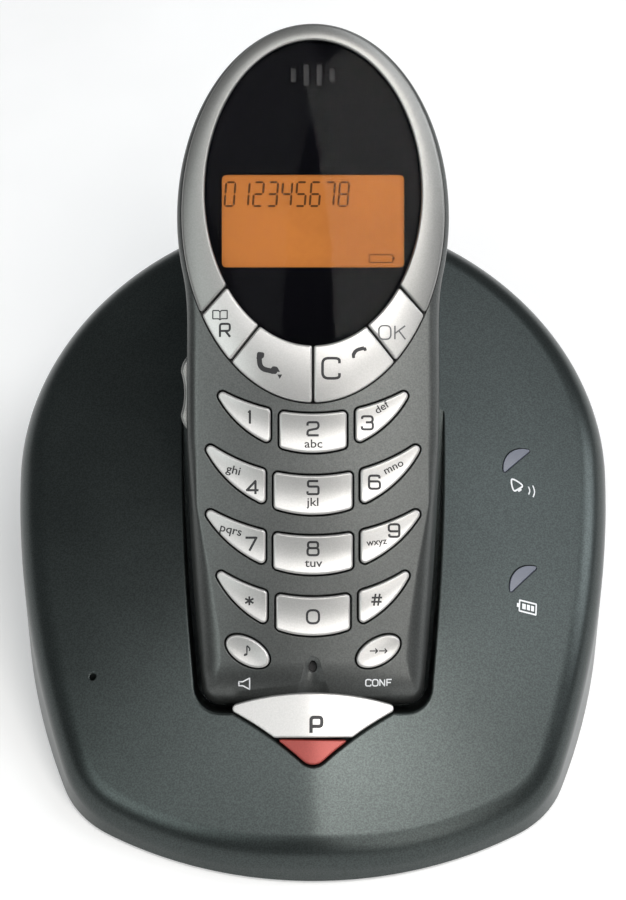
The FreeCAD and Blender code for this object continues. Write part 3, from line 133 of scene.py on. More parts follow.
def box(centre: Sequence[float], half: Sequence[float]) -> Array:
    """Corners of an upright box in plan, anticlockwise."""
    signs = np.array([[-1.0, -1.0], [1.0, -1.0], [1.0, 1.0], [-1.0, 1.0]])
    return np.asarray(centre) + signs * half


def left_of(line: Array, points: Array) -> Array:
    """How far points lie to the left of a line, times the line's length."""
    along, off = line[1] - line[0], points - line[0]
    return along[0] * off[:, 1] - along[1] * off[:, 0]


def level_at(height: float) -> Height:
    """Level surface."""
    return lambda x, y: np.full(np.shape(x), height)


def moved_up(level: Height, by: float) -> Height:
    """Surface some way above another."""
    return lambda x, y: level(x, y) + by


def tangents(points: Array, axis: int, closed: bool) -> Array:
    """Unit tangents along one axis of a grid of points.

    A middle point has the slope of the parabola through it and its neighbours. An end point has
    its neighbour's slope mirrored about the chord between the two.

    Args:
        points: grid of points, (rows, columns, 3).
        axis: axis of the grid to follow.
        closed: whether the last point is followed by the first.

    Returns:
        Unit tangents, as large as the grid.
    """
    run = np.moveaxis(points, axis, 0)
    if closed:
        before, after = run - np.roll(run, 1, 0), np.roll(run, -1, 0) - run
    else:
        step = np.diff(run, axis=0)
        before, after = np.concatenate([step[:1], step]), np.concatenate([step, step[-1:]])
    length_before = np.linalg.norm(before, axis=-1, keepdims=True)
    length_after = np.linalg.norm(after, axis=-1, keepdims=True)
    slope = unit(unit(before) * length_after + unit(after) * length_before)
    if not closed and len(run) > 2:
        slope[0] = unit(2.0 * unit(step[0]) - slope[1])
        slope[-1] = unit(2.0 * unit(step[-1]) - slope[-2])
    return np.moveaxis(slope, 0, axis)


def lengths(points: Array) -> Array:
    """Distance along a line of points, from its first point."""
    steps = np.linalg.norm(np.diff(points, axis=0), axis=1)
    return np.concatenate([[0.0], np.cumsum(steps)])


def at_lengths(points: Array, places: Array) -> Array:
    """Points at given distances along a line of points."""
    along = lengths(points)
    return np.stack([np.interp(places, along, points[:, i]) for i in range(points.shape[1])], 1)


def respaced(points: Array, spacing: float) -> Array:
    """The same line with evenly spaced points, ends kept.

    Args:
        points: the line.
        spacing: distance between its new points.

    Returns:
        The evenly spaced points.
    """
    total = lengths(points)[-1]
    count = max(int(round(total / spacing)), 1) + 1
    return at_lengths(points, np.linspace(0.0, total, count))


def divided(path: Array, spacing: float, closed: bool) -> Array:
    """The same line with more points on every side that is longer than the spacing.

    Args:
        path: the line.
        spacing: longest side that stays whole.
        closed: whether the last point is followed by the first.

    Returns:
        The line with the added points.
    """
    here = path if closed else path[:-1]
    following = np.roll(path, -1, 0) if closed else path[1:]
    count = np.maximum(np.linalg.norm(following - here, axis=1) / spacing, 1.0).astype(int)
    side = np.repeat(np.arange(len(here)), count)
    within = np.arange(len(side)) - np.repeat(np.cumsum(count) - count, count)
    share = (within / count[side])[:, None]
    line = here[side] + share * (following - here)[side]
    return line if closed else np.concatenate([line, path[-1:]])


def arc_through(start: Sequence[float], middle: Sequence[float], end: Sequence[float]) -> Array:
    """Close points of the circular arc through three points.

    The centre is where the upright bisectors of the two chords meet.

    Args:
        start: the first point.
        middle: a point between.
        end: the last point.

    Returns:
        The points.
    """
    a, b, c = (np.array(p, float) for p in (start, middle, end))
    rows = np.stack([b - a, c - b])
    right = np.array([(b @ b - a @ a) / 2.0, (c @ c - b @ b) / 2.0])
    centre = np.linalg.solve(rows, right)
    radius = np.linalg.norm(a - centre)
    first, _, last = np.unwrap([math.atan2(*(p - centre)[::-1]) for p in (a, b, c)])
    count = max(int(abs(last - first) * radius / FINE), 4)
    return arc(centre, radius, np.linspace(first, last, count))


def straight(start: Sequence[float], end: Sequence[float]) -> Array:
    """Close points of a straight line.

    Args:
        start: the first point.
        end: the last point.

    Returns:
        The points.
    """
    a, b = np.array(start, float), np.array(end, float)
    count = max(int(np.linalg.norm(b - a) / FINE), 2)
    return a + np.linspace(0.0, 1.0, count)[:, None] * (b - a)


def joined(runs: Sequence[Array]) -> Array:
    """One line from runs that follow each other, each shared point once."""
    parts = [run[:-1] for run in runs[:-1]] + [runs[-1]]
    return np.concatenate(parts)


@dataclass(frozen=True)
class Loop:
    """Closed outline in plan, run anticlockwise.

    Args:
        points: its points, (n, 2), the first one not repeated.
        normals: the outward direction at each point.
    """

    points: Array
    normals: Array

    @classmethod
    def through(cls, points: Array) -> "Loop":
        """Outline through points, with each normal at a right angle to the tangent there."""
        along = tangents(points[None], 1, True)[0]
        return cls(points, np.stack([along[:, 1], -along[:, 0]], 1))

    @classmethod
    def ellipse(
        cls, centre: tuple[float, float], half: tuple[float, float], count: int, turn: float = 0.0
    ) -> "Loop":
        """Ellipse about a centre, turned in degrees.

        Args:
            centre: its centre.
            half: half its width and half its height.
            count: number of its points.
            turn: how far it is turned anticlockwise.

        Returns:
            The outline.
        """
        angle = np.linspace(0.0, 2.0 * math.pi, count, endpoint=False)
        circle = arc((0.0, 0.0), 1.0, angle)
        rotation = turned(turn)
        return cls(circle * half @ rotation + np.array(centre), unit(circle / half) @ rotation)

    @classmethod
    def boxed(
        cls, centre: Sequence[float], half: Sequence[float], radius: float, spacing: float
    ) -> "Loop":
        """Upright box with rounded corners.

        Args:
            centre: its centre.
            half: half its width and half its height.
            radius: radius of the corners.
            spacing: distance between the outline's points.

        Returns:
            The outline.
        """
        corners = box(centre, half)
        edges = [straight(*ends) for ends in zip(corners, np.roll(corners, -1, 0))]
        return cls.rounded(edges, radius, spacing)

    @classmethod
    def rounded(cls, edges: Sequence[Array], radius: float, spacing: float) -> "Loop":
        """Outline of curved edges whose corners are arcs of one radius.

        Each edge is moved inwards by the radius. Where two moved edges cross is the centre of the
        corner's arc, and the edges keep what lies between the feet of their two centres.

        Args:
            edges: edges in anticlockwise order, each a line of close points.
            radius: radius of the corners.
            spacing: distance between the outline's points.

        Returns:
            The outline.
        """
        outs = []
        for edge in edges:
            along = tangents(edge[None], 1, False)[0]
            outs.append(np.stack([along[:, 1], -along[:, 0]], 1))
        moved = [edge - radius * out for edge, out in zip(edges, outs)]
        count = len(edges)
        meets = [nearest_meeting(moved[i], moved[(i + 1) % count]) for i in range(count)]
        runs: list[Array] = []
        for i in range(count):
            start, end = meets[i - 1][1], meets[i][0]
            kept = edges[i][start : end + 1]
            centre = (moved[i][end] + moved[(i + 1) % count][meets[i][1]]) / 2.0
            first = outs[i][end]
            last = outs[(i + 1) % count][meets[i][1]]
            runs += [kept, corner_arc(centre, radius, first, last)]
        line = np.concatenate(runs)
        line = line[np.concatenate([[True], np.linalg.norm(np.diff(line, axis=0), axis=1) > 1e-4])]
        closed = np.concatenate([line, line[:1]])
        return cls.through(respaced(closed, spacing)[:-1])

    def grown(self, by: float) -> "Loop":
        """The outline moved outwards."""
        return Loop(self.points + by * self.normals, self.normals)

    def shifted(self, by: tuple[float, float]) -> "Loop":
        """The outline moved in plan."""
        return Loop(self.points + np.array(by), self.normals)


def nearest_meeting(first: Array, second: Array) -> tuple[int, int]:
    """Where the last half of a line comes nearest to the first half of the next, as indices.

    Args:
        first: the line whose last half counts.
        second: the line whose first half counts.

    Returns:
        Index of the nearest point on each line.
    """
    head = first[len(first) // 2 :]
    tail = second[: max(len(second) // 2, 2)]
    gaps = np.linalg.norm(head[:, None] - tail[None], axis=2)
    i, j = np.unravel_index(np.argmin(gaps), gaps.shape)
    return int(i) + len(first) // 2, int(j)


def corner_arc(centre: Array, radius: float, first: Array, last: Array) -> Array:
    """Arc about a centre from one outward direction to the next, a quarter turn back at most.

    Args:
        centre: centre of the arc.
        radius: its radius.
        first: direction of its first point.
        last: direction of its last point.

    Returns:
        The points.
    """
    start = math.atan2(first[1], first[0])
    quarter = math.pi / 2.0
    sweep = (math.atan2(last[1], last[0]) - start + quarter) % (4.0 * quarter) - quarter
    return arc(centre, radius, start + sweep * np.linspace(0.0, 1.0, 24))


def raised(plan: Array, level: Height | float) -> Array:
    """Plan points lifted to a level or onto a surface."""
    height = level(plan[:, 0], plan[:, 1]) if callable(level) else np.full(len(plan), level)
    return np.column_stack([plan, height])


def stacked(*runs: tuple[Array, Height | float]) -> Array:
    """Rows of points, each a run of plan points lifted to its level."""
    return np.stack([raised(plan, level) for plan, level in runs])


def slopes(level: Height, plan: Array) -> Array:
    """Slope of a surface along X and Y, from the height a small step to each side.

    Args:
        level: height of the surface.
        plan: places in plan.

    Returns:
        The two slopes at each place, (n, 2).
    """
    x, y = plan[:, 0], plan[:, 1]
    along_x = (level(x + SLOPE_STEP, y) - level(x - SLOPE_STEP, y)) / (2.0 * SLOPE_STEP)
    along_y = (level(x, y + SLOPE_STEP) - level(x, y - SLOPE_STEP)) / (2.0 * SLOPE_STEP)
    return np.stack([along_x, along_y], 1)


def rolled_edge(loop: Loop, radius: Array | float, level: Height, steps: int) -> Array:
    """Rows that round the edge between an upright wall and the surface above it.

    At each point of the outline a circle of the radius touches the wall and the surface, whose
    slope outwards is taken where they touch. The rows go round it in even turns.

    Args:
        loop: outline of the wall.
        radius: radius of the edge, one or one for each point.
        level: height of the surface.
        steps: number of turns.

    Returns:
        Rows of points, (steps + 1, n, 3), from the top of the wall inwards.
    """
    radius = np.broadcast_to(np.asarray(radius, float), len(loop.points))
    reach = radius.copy()
    for _ in range(5):
        plan = loop.points - reach[:, None] * loop.normals
        slope = np.sum(slopes(level, plan) * loop.normals, axis=1)
        rise = np.sqrt(1.0 + slope**2)
        reach = radius * (1.0 + slope / rise)
    centre = level(plan[:, 0], plan[:, 1]) - radius / rise
    angle = np.linspace(0.0, 1.0, steps + 1)[:, None] * np.arctan2(1.0, -slope)[None]
    inwards = radius * (1.0 - np.cos(angle))
    plan_rows = loop.points[None] - inwards[..., None] * loop.normals[None]
    return np.concatenate([plan_rows, (centre + radius * np.sin(angle))[..., None]], axis=2)


@dataclass(frozen=True)
class Brow:
    """Curved band between an upright wall and a face, which it meets in a soft crease.

    Its profile is an ellipse from upright to a turn, and a parabola eases it into the face.

    Args:
        loop: outline of the wall.
        reach: how far in from the wall the crease is, for each point of the outline.
        drop: how far the band falls from the crease to the wall.
        turn: turn of the ellipse at the crease.
        level: height of the face.
        ease: half the width of the eased crease.
        arc_share: share of the way that is the ellipse.
    """

    loop: Loop
    reach: Array
    drop: Array
    turn: Array
    level: Height
    ease: float = 0.25
    arc_share: float = 0.75

    def profile(self, share: Array) -> tuple[Array, Array]:
        """Way in from the wall and height, at a share of the way from the wall to the face.

        Args:
            share: 0 at the wall and 1 on the face.

        Returns:
            The way in and the height, for each point of the outline.
        """
        width = self.reach / (1.0 - np.cos(self.turn))
        rise = self.drop / np.sin(self.turn)
        crease = self.at(self.reach)
        eased = np.arccos(1.0 - (self.reach - self.ease) / width)
        angle = np.clip(share / self.arc_share, 0.0, 1.0) * eased
        t = np.clip((share - self.arc_share) / (1.0 - self.arc_share), 0.0, 1.0)
        first = crease - self.drop + rise * np.sin(eased)
        last = self.at(self.reach + self.ease)
        inward = self.reach - self.ease + 2.0 * self.ease * t
        height = (1.0 - t) ** 2 * first + 2.0 * t * (1.0 - t) * crease + t**2 * last
        on_arc = share <= self.arc_share
        inward = np.where(on_arc, width * (1.0 - np.cos(angle)), inward)
        return inward, np.where(on_arc, crease - self.drop + rise * np.sin(angle), height)

    def at(self, inward: Array) -> Array:
        """Height of the face some way in from the wall."""
        plan = self.loop.points - inward[:, None] * self.loop.normals
        return self.level(plan[:, 0], plan[:, 1])

    def rows(self, steps: int, limit: Array) -> Array:
        """Rows of points from the top of the wall inwards.

        Args:
            steps: number of steps.
            limit: how far in from the wall the rows may reach at each point.

        Returns:
            The rows, (steps + 1, n, 3). Halving finds the share at which the limit is met.
        """
        low, high = np.zeros(len(limit)), np.ones(len(limit))
        past = self.profile(high)[0] > limit
        for _ in range(30):
            middle = (low + high) / 2.0
            over = self.profile(middle)[0] > limit
            low, high = np.where(over, low, middle), np.where(over, middle, high)
        stop = np.where(past, low, 1.0)
        inward, height = self.profile(np.linspace(0.0, 1.0, steps + 1)[:, None] * stop[None])
        plan = self.loop.points[None] - inward[..., None] * self.loop.normals[None]
        return np.concatenate([plan, height[..., None]], axis=2)


def bend(start: Array, corner: Array, end: Array, steps: int) -> Array:
    """Rows that turn from one line of points to another by the parabola with a corner between."""
    t = np.linspace(0.0, 1.0, steps + 1)[:, None, None]
    return (1.0 - t) ** 2 * start + 2.0 * t * (1.0 - t) * corner + t**2 * end


def inside(points: Array, outline: Array) -> NDArray[np.bool_]:
    """Which points lie in a closed outline: a ray to the right crosses an odd number of edges.

    Args:
        points: the points, (n, 2).
        outline: corners of the outline.

    Returns:
        The answer for each point.
    """
    a, b = outline, np.roll(outline, -1, 0)
    flat = np.where(np.abs(b[:, 1] - a[:, 1]) < TINY, TINY, b[:, 1] - a[:, 1])
    found = []
    for part in np.array_split(points, max(len(points) // 4000, 1)):
        x, y = part[:, :1], part[:, 1:]
        spans = (a[:, 1] > y) != (b[:, 1] > y)
        crossing = a[:, 0] + (y - a[:, 1]) * (b[:, 0] - a[:, 0]) / flat
        found.append(np.sum(spans & (x < crossing), axis=1) % 2 == 1)
    return np.concatenate(found)


def clear_of(points: Array, outline: Array, distance: float) -> NDArray[np.bool_]:
    """Which points are further than a distance from every point of an outline.

    Args:
        points: the points, (n, 2).
        outline: points of the outline.
        distance: the least distance.

    Returns:
        The answer for each point.
    """
    found = []
    for part in np.array_split(points, max(len(points) // 2000, 1)):
        gaps = np.sum((part[:, None] - outline[None]) ** 2, axis=2)
        found.append(gaps.min(axis=1) > distance**2)
    return np.concatenate(found)


def filled(
    outlines: Sequence[Array], spacing: float, added: Array | None = None
) -> tuple[Array, Whole]:
    """Triangles between an outer outline and its holes.

    Points of a triangular lattice fill the space, and the Delaunay triangles that keep every edge
    of the outlines join them.

    Args:
        outlines: the outer outline and then the holes.
        spacing: distance between the lattice's points.
        added: more points, where the surface has finer shape than the lattice shows.

    Returns:
        The points, (n, 2), and the triangles, anticlockwise.
    """
    low, high = outlines[0].min(0), outlines[0].max(0)
    rows = np.arange(low[1], high[1], spacing * math.sqrt(0.75))
    columns = np.arange(low[0] - spacing, high[0] + spacing, spacing)
    x, y = np.meshgrid(columns, rows)
    x = x + (np.arange(len(rows)) % 2)[:, None] * spacing / 2.0
    lattice = np.stack([x.ravel(), y.ravel()], 1)
    lattice = lattice[inside(lattice, outlines[0])]
    for outline in outlines[1:]:
        lattice = lattice[~inside(lattice, outline)]
    for outline in outlines:
        lattice = lattice[clear_of(lattice, outline, 0.6 * spacing)]
    if added is not None:
        lattice = lattice[clear_of(lattice, added, 0.5 * spacing)]
        lattice = np.concatenate([lattice, added])
    points = np.concatenate([*outlines, lattice])
    edges, start = [], 0
    for outline in outlines:
        index = np.arange(len(outline))
        edges.append(np.stack([index, np.roll(index, -1)], 1) + start)
        start += len(outline)
    made = delaunay_2d_cdt(
        [Vector(p) for p in points], np.concatenate(edges).tolist(), [], 0, 1e-7, True
    )
    origin = np.array([ids[0] if ids else -1 for ids in made[3]])
    triangles = origin[np.array(made[2], np.int64)]
    corners = points[triangles]
    centres = corners.mean(axis=1)
    kept = inside(centres, outlines[0]) & (triangles.min(axis=1) >= 0)
    for outline in outlines[1:]:
        kept &= ~inside(centres, outline)
    triangles, corners = triangles[kept], corners[kept]
    sides = corners[:, 1:] - corners[:, :1]
    turned = sides[:, 0, 0] * sides[:, 1, 1] - sides[:, 0, 1] * sides[:, 1, 0] < 0.0
    triangles[turned] = triangles[turned][:, ::-1]
    return points, triangles


class Skin:
    """A surface put together from patches that share their edges."""

    def __init__(self, drawn: Drawn) -> None:
        """Start an empty surface.

        Args:
            drawn: the frame that its patches are drawn in, where none is given with the patch.
        """
        self.drawn = drawn
        self.points: list[Array] = []
        self.normals: list[Array] = []
        self.faces: list[Whole] = []
        self.coats: list[Whole] = []
        self.count = 0
        self.coat = 0

    def add(self, points: Array, normals: Array, faces: Whole, drawn: Drawn | None = None) -> None:
        """Take a patch. A face is a row of four points, and a triangle repeats its last one.

        Args:
            points: its points, (n, 3).
            normals: the outward direction at each point.
            faces: its faces, rows of four indices.
            drawn: the patch's own frame.
        """
        frame_of = drawn or self.drawn
        self.points.append(frame_of.place(points))
        self.normals.append(frame_of.turn(normals))
        self.faces.append(faces + self.count)
        self.coats.append(np.full(len(faces), self.coat))
        self.count += len(points)

    def rows(
        self,
        rows: Array,
        closed: bool = True,
        flip: bool = False,
        drawn: Drawn | None = None,
        kept: NDArray[np.bool_] | None = None,
    ) -> None:
        """Take rows of points that follow a profile.

        With each row run anticlockwise and the rows in order up a wall, faces point outwards.

        Args:
            rows: the points, (rows, columns, 3).
            closed: whether the last column is followed by the first.
            flip: whether the faces point the other way.
            drawn: the frame of the points.
            kept: which faces stay, (rows - 1, columns); without it all do.
        """
        along = tangents(rows, 1, closed)
        up = tangents(rows, 0, False)
        normals = unit(np.cross(along, up))
        for end, neighbour in ((0, 1), (-1, -2)):
            lost = np.linalg.norm(normals[end], axis=1) < 0.5
            normals[end][lost] = unit(normals[neighbour].mean(axis=0))
        count, wide = rows.shape[:2]
        index = np.arange(count * wide).reshape(count, wide)
        following = np.roll(index, -1, 1) if closed else index[:, 1:]
        here = index if closed else index[:, :-1]
        quads = np.stack([here[:-1], following[:-1], following[1:], here[1:]], -1)
        quads = quads.reshape(-1, 4) if kept is None else quads[kept]
        sign = -1.0 if flip else 1.0
        quads = quads[:, ::-1] if flip else quads
        self.add(rows.reshape(-1, 3), sign * normals.reshape(-1, 3), quads, drawn)

    def plate(
        self,
        outlines: Sequence[Array],
        level: Height | float,
        spacing: float,
        flip: bool = False,
        drawn: Drawn | None = None,
        added: Array | None = None,
    ) -> None:
        """Take the part of a height surface between an outline and its holes.

        Args:
            outlines: the outer outline and then the holes, in plan.
            level: height of the surface.
            spacing: distance between its points.
            flip: whether it faces downwards.
            drawn: the frame of the outlines.
            added: more points of the surface.
        """
        plan, triangles = filled(outlines, spacing, added)
        slope = slopes(level, plan) if callable(level) else np.zeros_like(plan)
        normals = unit(np.column_stack([-slope, np.ones(len(plan))]))
        order = [2, 1, 0, 0] if flip else [0, 1, 2, 2]
        sign = -1.0 if flip else 1.0
        self.add(raised(plan, level), sign * normals, triangles[:, order], drawn)

    def cap(
        self,
        loop: Loop,
        low: float,
        level: Height,
        radius: Array | float,
        spacing: float,
        steps: int = 5,
        wells: Sequence[Loop] = (),
        lip: float = 0.12,
    ) -> None:
        """Take a closed cap: upright wall, rolled edge, top surface and flat underside.

        Args:
            loop: outline of the wall.
            low: level of the underside.
            level: height of the top.
            radius: radius of the edge.
            spacing: distance between the points of the top.
            steps: turns of the edge.
            wells: openings that go through the cap.
            lip: radius of the openings' edges.
        """
        edge = rolled_edge(loop, radius, level, steps)
        self.rows(np.stack([raised(loop.points, low), edge[0]]))
        self.rows(edge)
        mouths = [self.well(well, level, lip, low) for well in wells]
        self.plate([edge[-1][:, :2], *mouths], level, spacing)
        self.plate([loop.points, *[w.points for w in wells]], low, 3.0 * spacing, flip=True)

    def well(
        self, loop: Loop, level: Height, lip: float, low: Height | float, inner_coat: int = 0
    ) -> Array:
        """Take the rounded lip and the wall of an opening.

        Args:
            loop: outline of the opening.
            level: height of the surface round it.
            lip: radius of its lip.
            low: level that the wall goes down to.
            inner_coat: number of the finish on the wall; a black finish there paints the shade down
                the opening.

        Returns:
            The hole that the surface round it needs, in plan.
        """
        outer = raised(loop.grown(lip).points, level)
        corner = raised(loop.points, level)
        wall = corner - np.array([0.0, 0.0, lip])
        self.rows(bend(outer, corner, wall, 4))
        outside, self.coat = self.coat, inner_coat
        self.rows(np.stack([wall, raised(loop.points, low)]))
        self.coat = outside
        return outer[:, :2]

    def bar(self, loop: Loop, low: float, high: float, radius: float, spacing: float) -> None:
        """Take a closed piece between two levels whose edges are both rounded.

        Args:
            loop: outline at the middle of its side.
            low: level of the underside.
            high: level of the top.
            radius: radius of the edges.
            spacing: distance between the points of the faces.
        """
        angle = np.linspace(0.0, math.pi / 2.0, 6)[:, None]
        inward = radius * (1.0 - np.cos(angle))[..., None]
        plan = loop.points[None] - inward * loop.normals[None]
        rise = np.broadcast_to(radius * np.sin(angle), plan.shape[:2])
        top = np.concatenate([plan, (high - radius + rise)[..., None]], 2)
        bottom = np.concatenate([plan, (low + radius - rise)[..., None]], 2)[::-1]
        self.rows(bottom)
        self.rows(np.stack([bottom[-1], top[0]]))
        self.rows(top)
        self.plate([plan[-1]], high, spacing)
        self.plate([plan[-1]], low, spacing, flip=True)

    def mesh(self, name: str) -> bpy.types.Mesh:
        """The surface as a mesh in metres, with shared points made one and its own normals.

        Args:
            name: name of the mesh.

        Returns:
            The mesh.
        """
        points = np.concatenate(self.points) - np.array([0.0, ORIGIN_BACK, 0.0])
        normals = np.concatenate(self.normals)
        faces = np.concatenate(self.faces)
        coats = np.concatenate(self.coats)
        grid = np.round(points / MERGE).astype(np.int64)
        _, first, where = np.unique(grid, axis=0, return_index=True, return_inverse=True)
        corner = where.reshape(-1)[faces]
        kept = corner != np.roll(corner, -1, 1)
        whole = (kept.sum(1) >= 3) & (corner[:, 0] != corner[:, 2]) & (corner[:, 1] != corner[:, 3])
        corner, kept, faces, coats = corner[whole], kept[whole], faces[whole], coats[whole]
        totals = kept.sum(1)
        mesh = bpy.data.meshes.new(name)
        mesh.vertices.add(len(first))
        mesh.vertices.foreach_set("co", (points[first] * MM).astype(np.float32).ravel())
        mesh.loops.add(int(totals.sum()))
        mesh.loops.foreach_set("vertex_index", corner[kept].astype(np.int32))
        mesh.polygons.add(len(totals))
        starts = np.concatenate([[0], np.cumsum(totals)[:-1]])
        mesh.polygons.foreach_set("loop_start", starts.astype(np.int32))
        mesh.polygons.foreach_set("use_smooth", np.ones(len(totals), bool))
        mesh.polygons.foreach_set("material_index", coats.astype(np.int32))
        mesh.update(calc_edges=True)
        if mesh.validate():
            log.warning("%s had faces that Blender took out", name)
        else:
            mesh.normals_split_custom_set(normals[faces][kept].tolist())
        return mesh


def wire(tree: bpy.types.NodeTree, node: bpy.types.Node, inputs: Inputs) -> None:
    """Set a node's inputs, each to a constant or to the socket that is linked to it.

    Args:
        tree: the material's nodes.
        node: the node.
        inputs: its inputs by name or number.
    """
    for name, value in inputs.items():
        if isinstance(value, bpy.types.NodeSocket):
            tree.links.new(value, node.inputs[name])
        else:
            node.inputs[name].default_value = value


def added(tree: bpy.types.NodeTree, kind: str, inputs: Inputs, **choices: str) -> bpy.types.Node:
    """Add a shader node.

    Args:
        tree: the material's nodes.
        kind: what node it is.
        inputs: its inputs, as for wire.
        choices: its own settings.

    Returns:
        The node.
    """
    made = tree.nodes.new(f"ShaderNode{kind}")
    for name, value in choices.items():
        setattr(made, name, value)
    wire(tree, made, inputs)
    return made


def noise(
    tree: bpy.types.NodeTree, place: bpy.types.NodeSocket, scale: float, detail: float
) -> bpy.types.NodeSocket:
    """Noise at a place."""
    inputs = {"Scale": scale, "Detail": detail, "Vector": place}
    return added(tree, "TexNoise", inputs).outputs["Fac"]


def ranged(
    tree: bpy.types.NodeTree, value: bpy.types.NodeSocket, low: float, high: float
) -> bpy.types.NodeSocket:
    """The middle of a noise stretched from a low to a high number."""
    inputs = {"From Min": 0.3, "From Max": 0.7, "To Min": low, "To Max": high, "Value": value}
    return added(tree, "MapRange", inputs, interpolation_type="SMOOTHSTEP").outputs[0]


@dataclass(frozen=True)
class Finish:
    """One finish of the phone as a procedural material.

    Args:
        name: name of the material.
        colour: its colour, linear.
        metallic: share of metal.
        roughness: how blurred its reflections are.
        fleck: how far fine grains lighten and darken the colour.
        fleck_size: size of the grains in millimetres.
        mottle: how far slow patches change the colour.
        bump: depth of the surface grain in millimetres.
        coat: weight of a clear coat.
        glow: strength of its own light.
        transmission: share of light that passes through.
        ior: index of refraction, which sets how strong plain reflections are.
    """

    name: str
    colour: tuple[float, float, float]
    metallic: float = 0.0
    roughness: float = 0.5
    fleck: float = 0.0
    fleck_size: float = 0.25
    mottle: float = 0.05
    bump: float = 0.0
    coat: float = 0.0
    glow: float = 0.0
    transmission: float = 0.0
    ior: float = 1.45

    def material(self) -> bpy.types.Material:
        """The Blender material, made once.

        Returns:
            The material.
        """
        title = f"{self.name}_finish"
        found = bpy.data.materials.get(title)
        if found:
            return found
        made = bpy.data.materials.new(title)
        made.use_nodes = True
        tree = made.node_tree
        place = added(tree, "TexCoord", {}).outputs["Object"]
        fine = noise(tree, place, 1.0 / (self.fleck_size * MM), 2.0)
        slow = noise(tree, place, PATCH_SCALE, 3.0)
        dark = tuple(c * (1.0 - self.fleck) for c in self.colour)
        light = tuple(min(c * (1.0 + self.fleck), 1.0) for c in self.colour)
        grain = {"A": (*dark, 1.0), "B": (*light, 1.0), "Factor": ranged(tree, fine, 0.0, 1.0)}
        mixed = added(tree, "Mix", grain, data_type="RGBA").outputs["Result"]
        patch = ranged(tree, slow, 1.0 - self.mottle, 1.0 + self.mottle)
        tint = added(tree, "VectorMath", {0: mixed, "Scale": patch}, operation="SCALE").outputs[0]
        rough = ranged(tree, slow, self.roughness * 0.93, min(self.roughness * 1.07, 1.0))
        inputs = {
            "Metallic": self.metallic,
            "Coat Weight": self.coat,
            "Coat Roughness": 0.1,
            "Transmission Weight": self.transmission,
            "IOR": self.ior,
            "Base Color": tint,
            "Roughness": rough,
        }
        if self.bump:
            relief = added(tree, "Bump", {"Distance": self.bump * MM, "Height": fine})
            inputs["Normal"] = relief.outputs[0]
        if self.glow:
            inputs |= {"Emission Color": tint, "Emission Strength": self.glow}
        wire(tree, tree.nodes["Principled BSDF"], inputs)
        return made


BASE_PAINT = Finish("base_paint", (0.0495, 0.0585, 0.057), 0.78, 0.31, 0.22, 0.3, 0.05)
FACE_PAINT = Finish("face_paint", (0.09, 0.0945, 0.092), 0.72, 0.34, 0.15, 0.3, 0.04)
REAR_PAINT = Finish("rear_paint", (0.0495, 0.0585, 0.057), 0.75, 0.34, 0.22, 0.3, 0.05)
RING_PAINT = Finish("ring_paint", (0.255, 0.255, 0.247), 0.7, 0.38, 0.06, 0.25, 0.02)
KEY_PAINT = Finish("key_paint", (0.46, 0.455, 0.445), 0.5, 0.31, 0.05, 0.25, 0.02)
RED_PAINT = Finish("red_paint", (0.25, 0.036, 0.028), 0.3, 0.32, 0.08, 0.25, 0.02)
BLACK_FILM = Finish("black_film", (0.002, 0.002, 0.003), 0.0, 0.5, ior=1.05)
CLEAR_LENS = Finish("clear_lens", (1.0, 1.0, 1.0), 0.0, 0.03, mottle=0.0, transmission=1.0, ior=1.1)
# The display's glow is partly its own backlight and partly painted light: it stands in for the
# lamps' light, which the clear lens keeps off it.
DISPLAY_GLOW = Finish(
    "display_glow", (0.39, 0.135, 0.03), 0.0, 0.5, 0.02, 1.5, 0.08, glow=0.2, ior=1.1
)
DISPLAY_INK = Finish("display_ink", (0.09, 0.035, 0.012), 0.0, 0.5, ior=1.1)
DARK_INK = Finish("dark_ink", (0.012, 0.012, 0.014), 0.0, 0.45)
WHITE_INK = Finish("white_ink", (0.75, 0.76, 0.78), 0.0, 0.5)
GREY_INK = Finish("grey_ink", (0.09, 0.09, 0.095), 0.0, 0.5)
SMOKED_LENS = Finish("smoked_lens", (0.1, 0.108, 0.142), 0.0, 0.15, coat=0.5)
BLACK_PLASTIC = Finish("black_plastic", (0.012, 0.012, 0.013), 0.0, 0.45, 0.1, 0.4, 0.04, 0.01)
BLACK_RUBBER = Finish("black_rubber", (0.015, 0.015, 0.015), 0.0, 0.8, 0.1, 0.4, 0.08, 0.02)
GREY_RUBBER = Finish("grey_rubber", (0.03, 0.03, 0.03), 0.0, 0.8, 0.1, 0.4, 0.08, 0.02)
STEEL = Finish("steel", (0.5, 0.5, 0.5), 1.0, 0.3, 0.04, 0.5, 0.05)
PLATED = Finish("plated", (0.72, 0.55, 0.28), 1.0, 0.25, 0.04, 0.5, 0.05)
BOARD_GREEN = Finish("board_green", (0.02, 0.1, 0.04), 0.0, 0.4, 0.1, 0.6, 0.1)
CELL_WRAP = Finish("cell_wrap", (0.03, 0.12, 0.2), 0.0, 0.35, 0.03, 0.5, 0.05)
FLOOR_FINISH = Finish("floor_pale", (0.8, 0.8, 0.8), 0.0, 0.6, mottle=0.01)

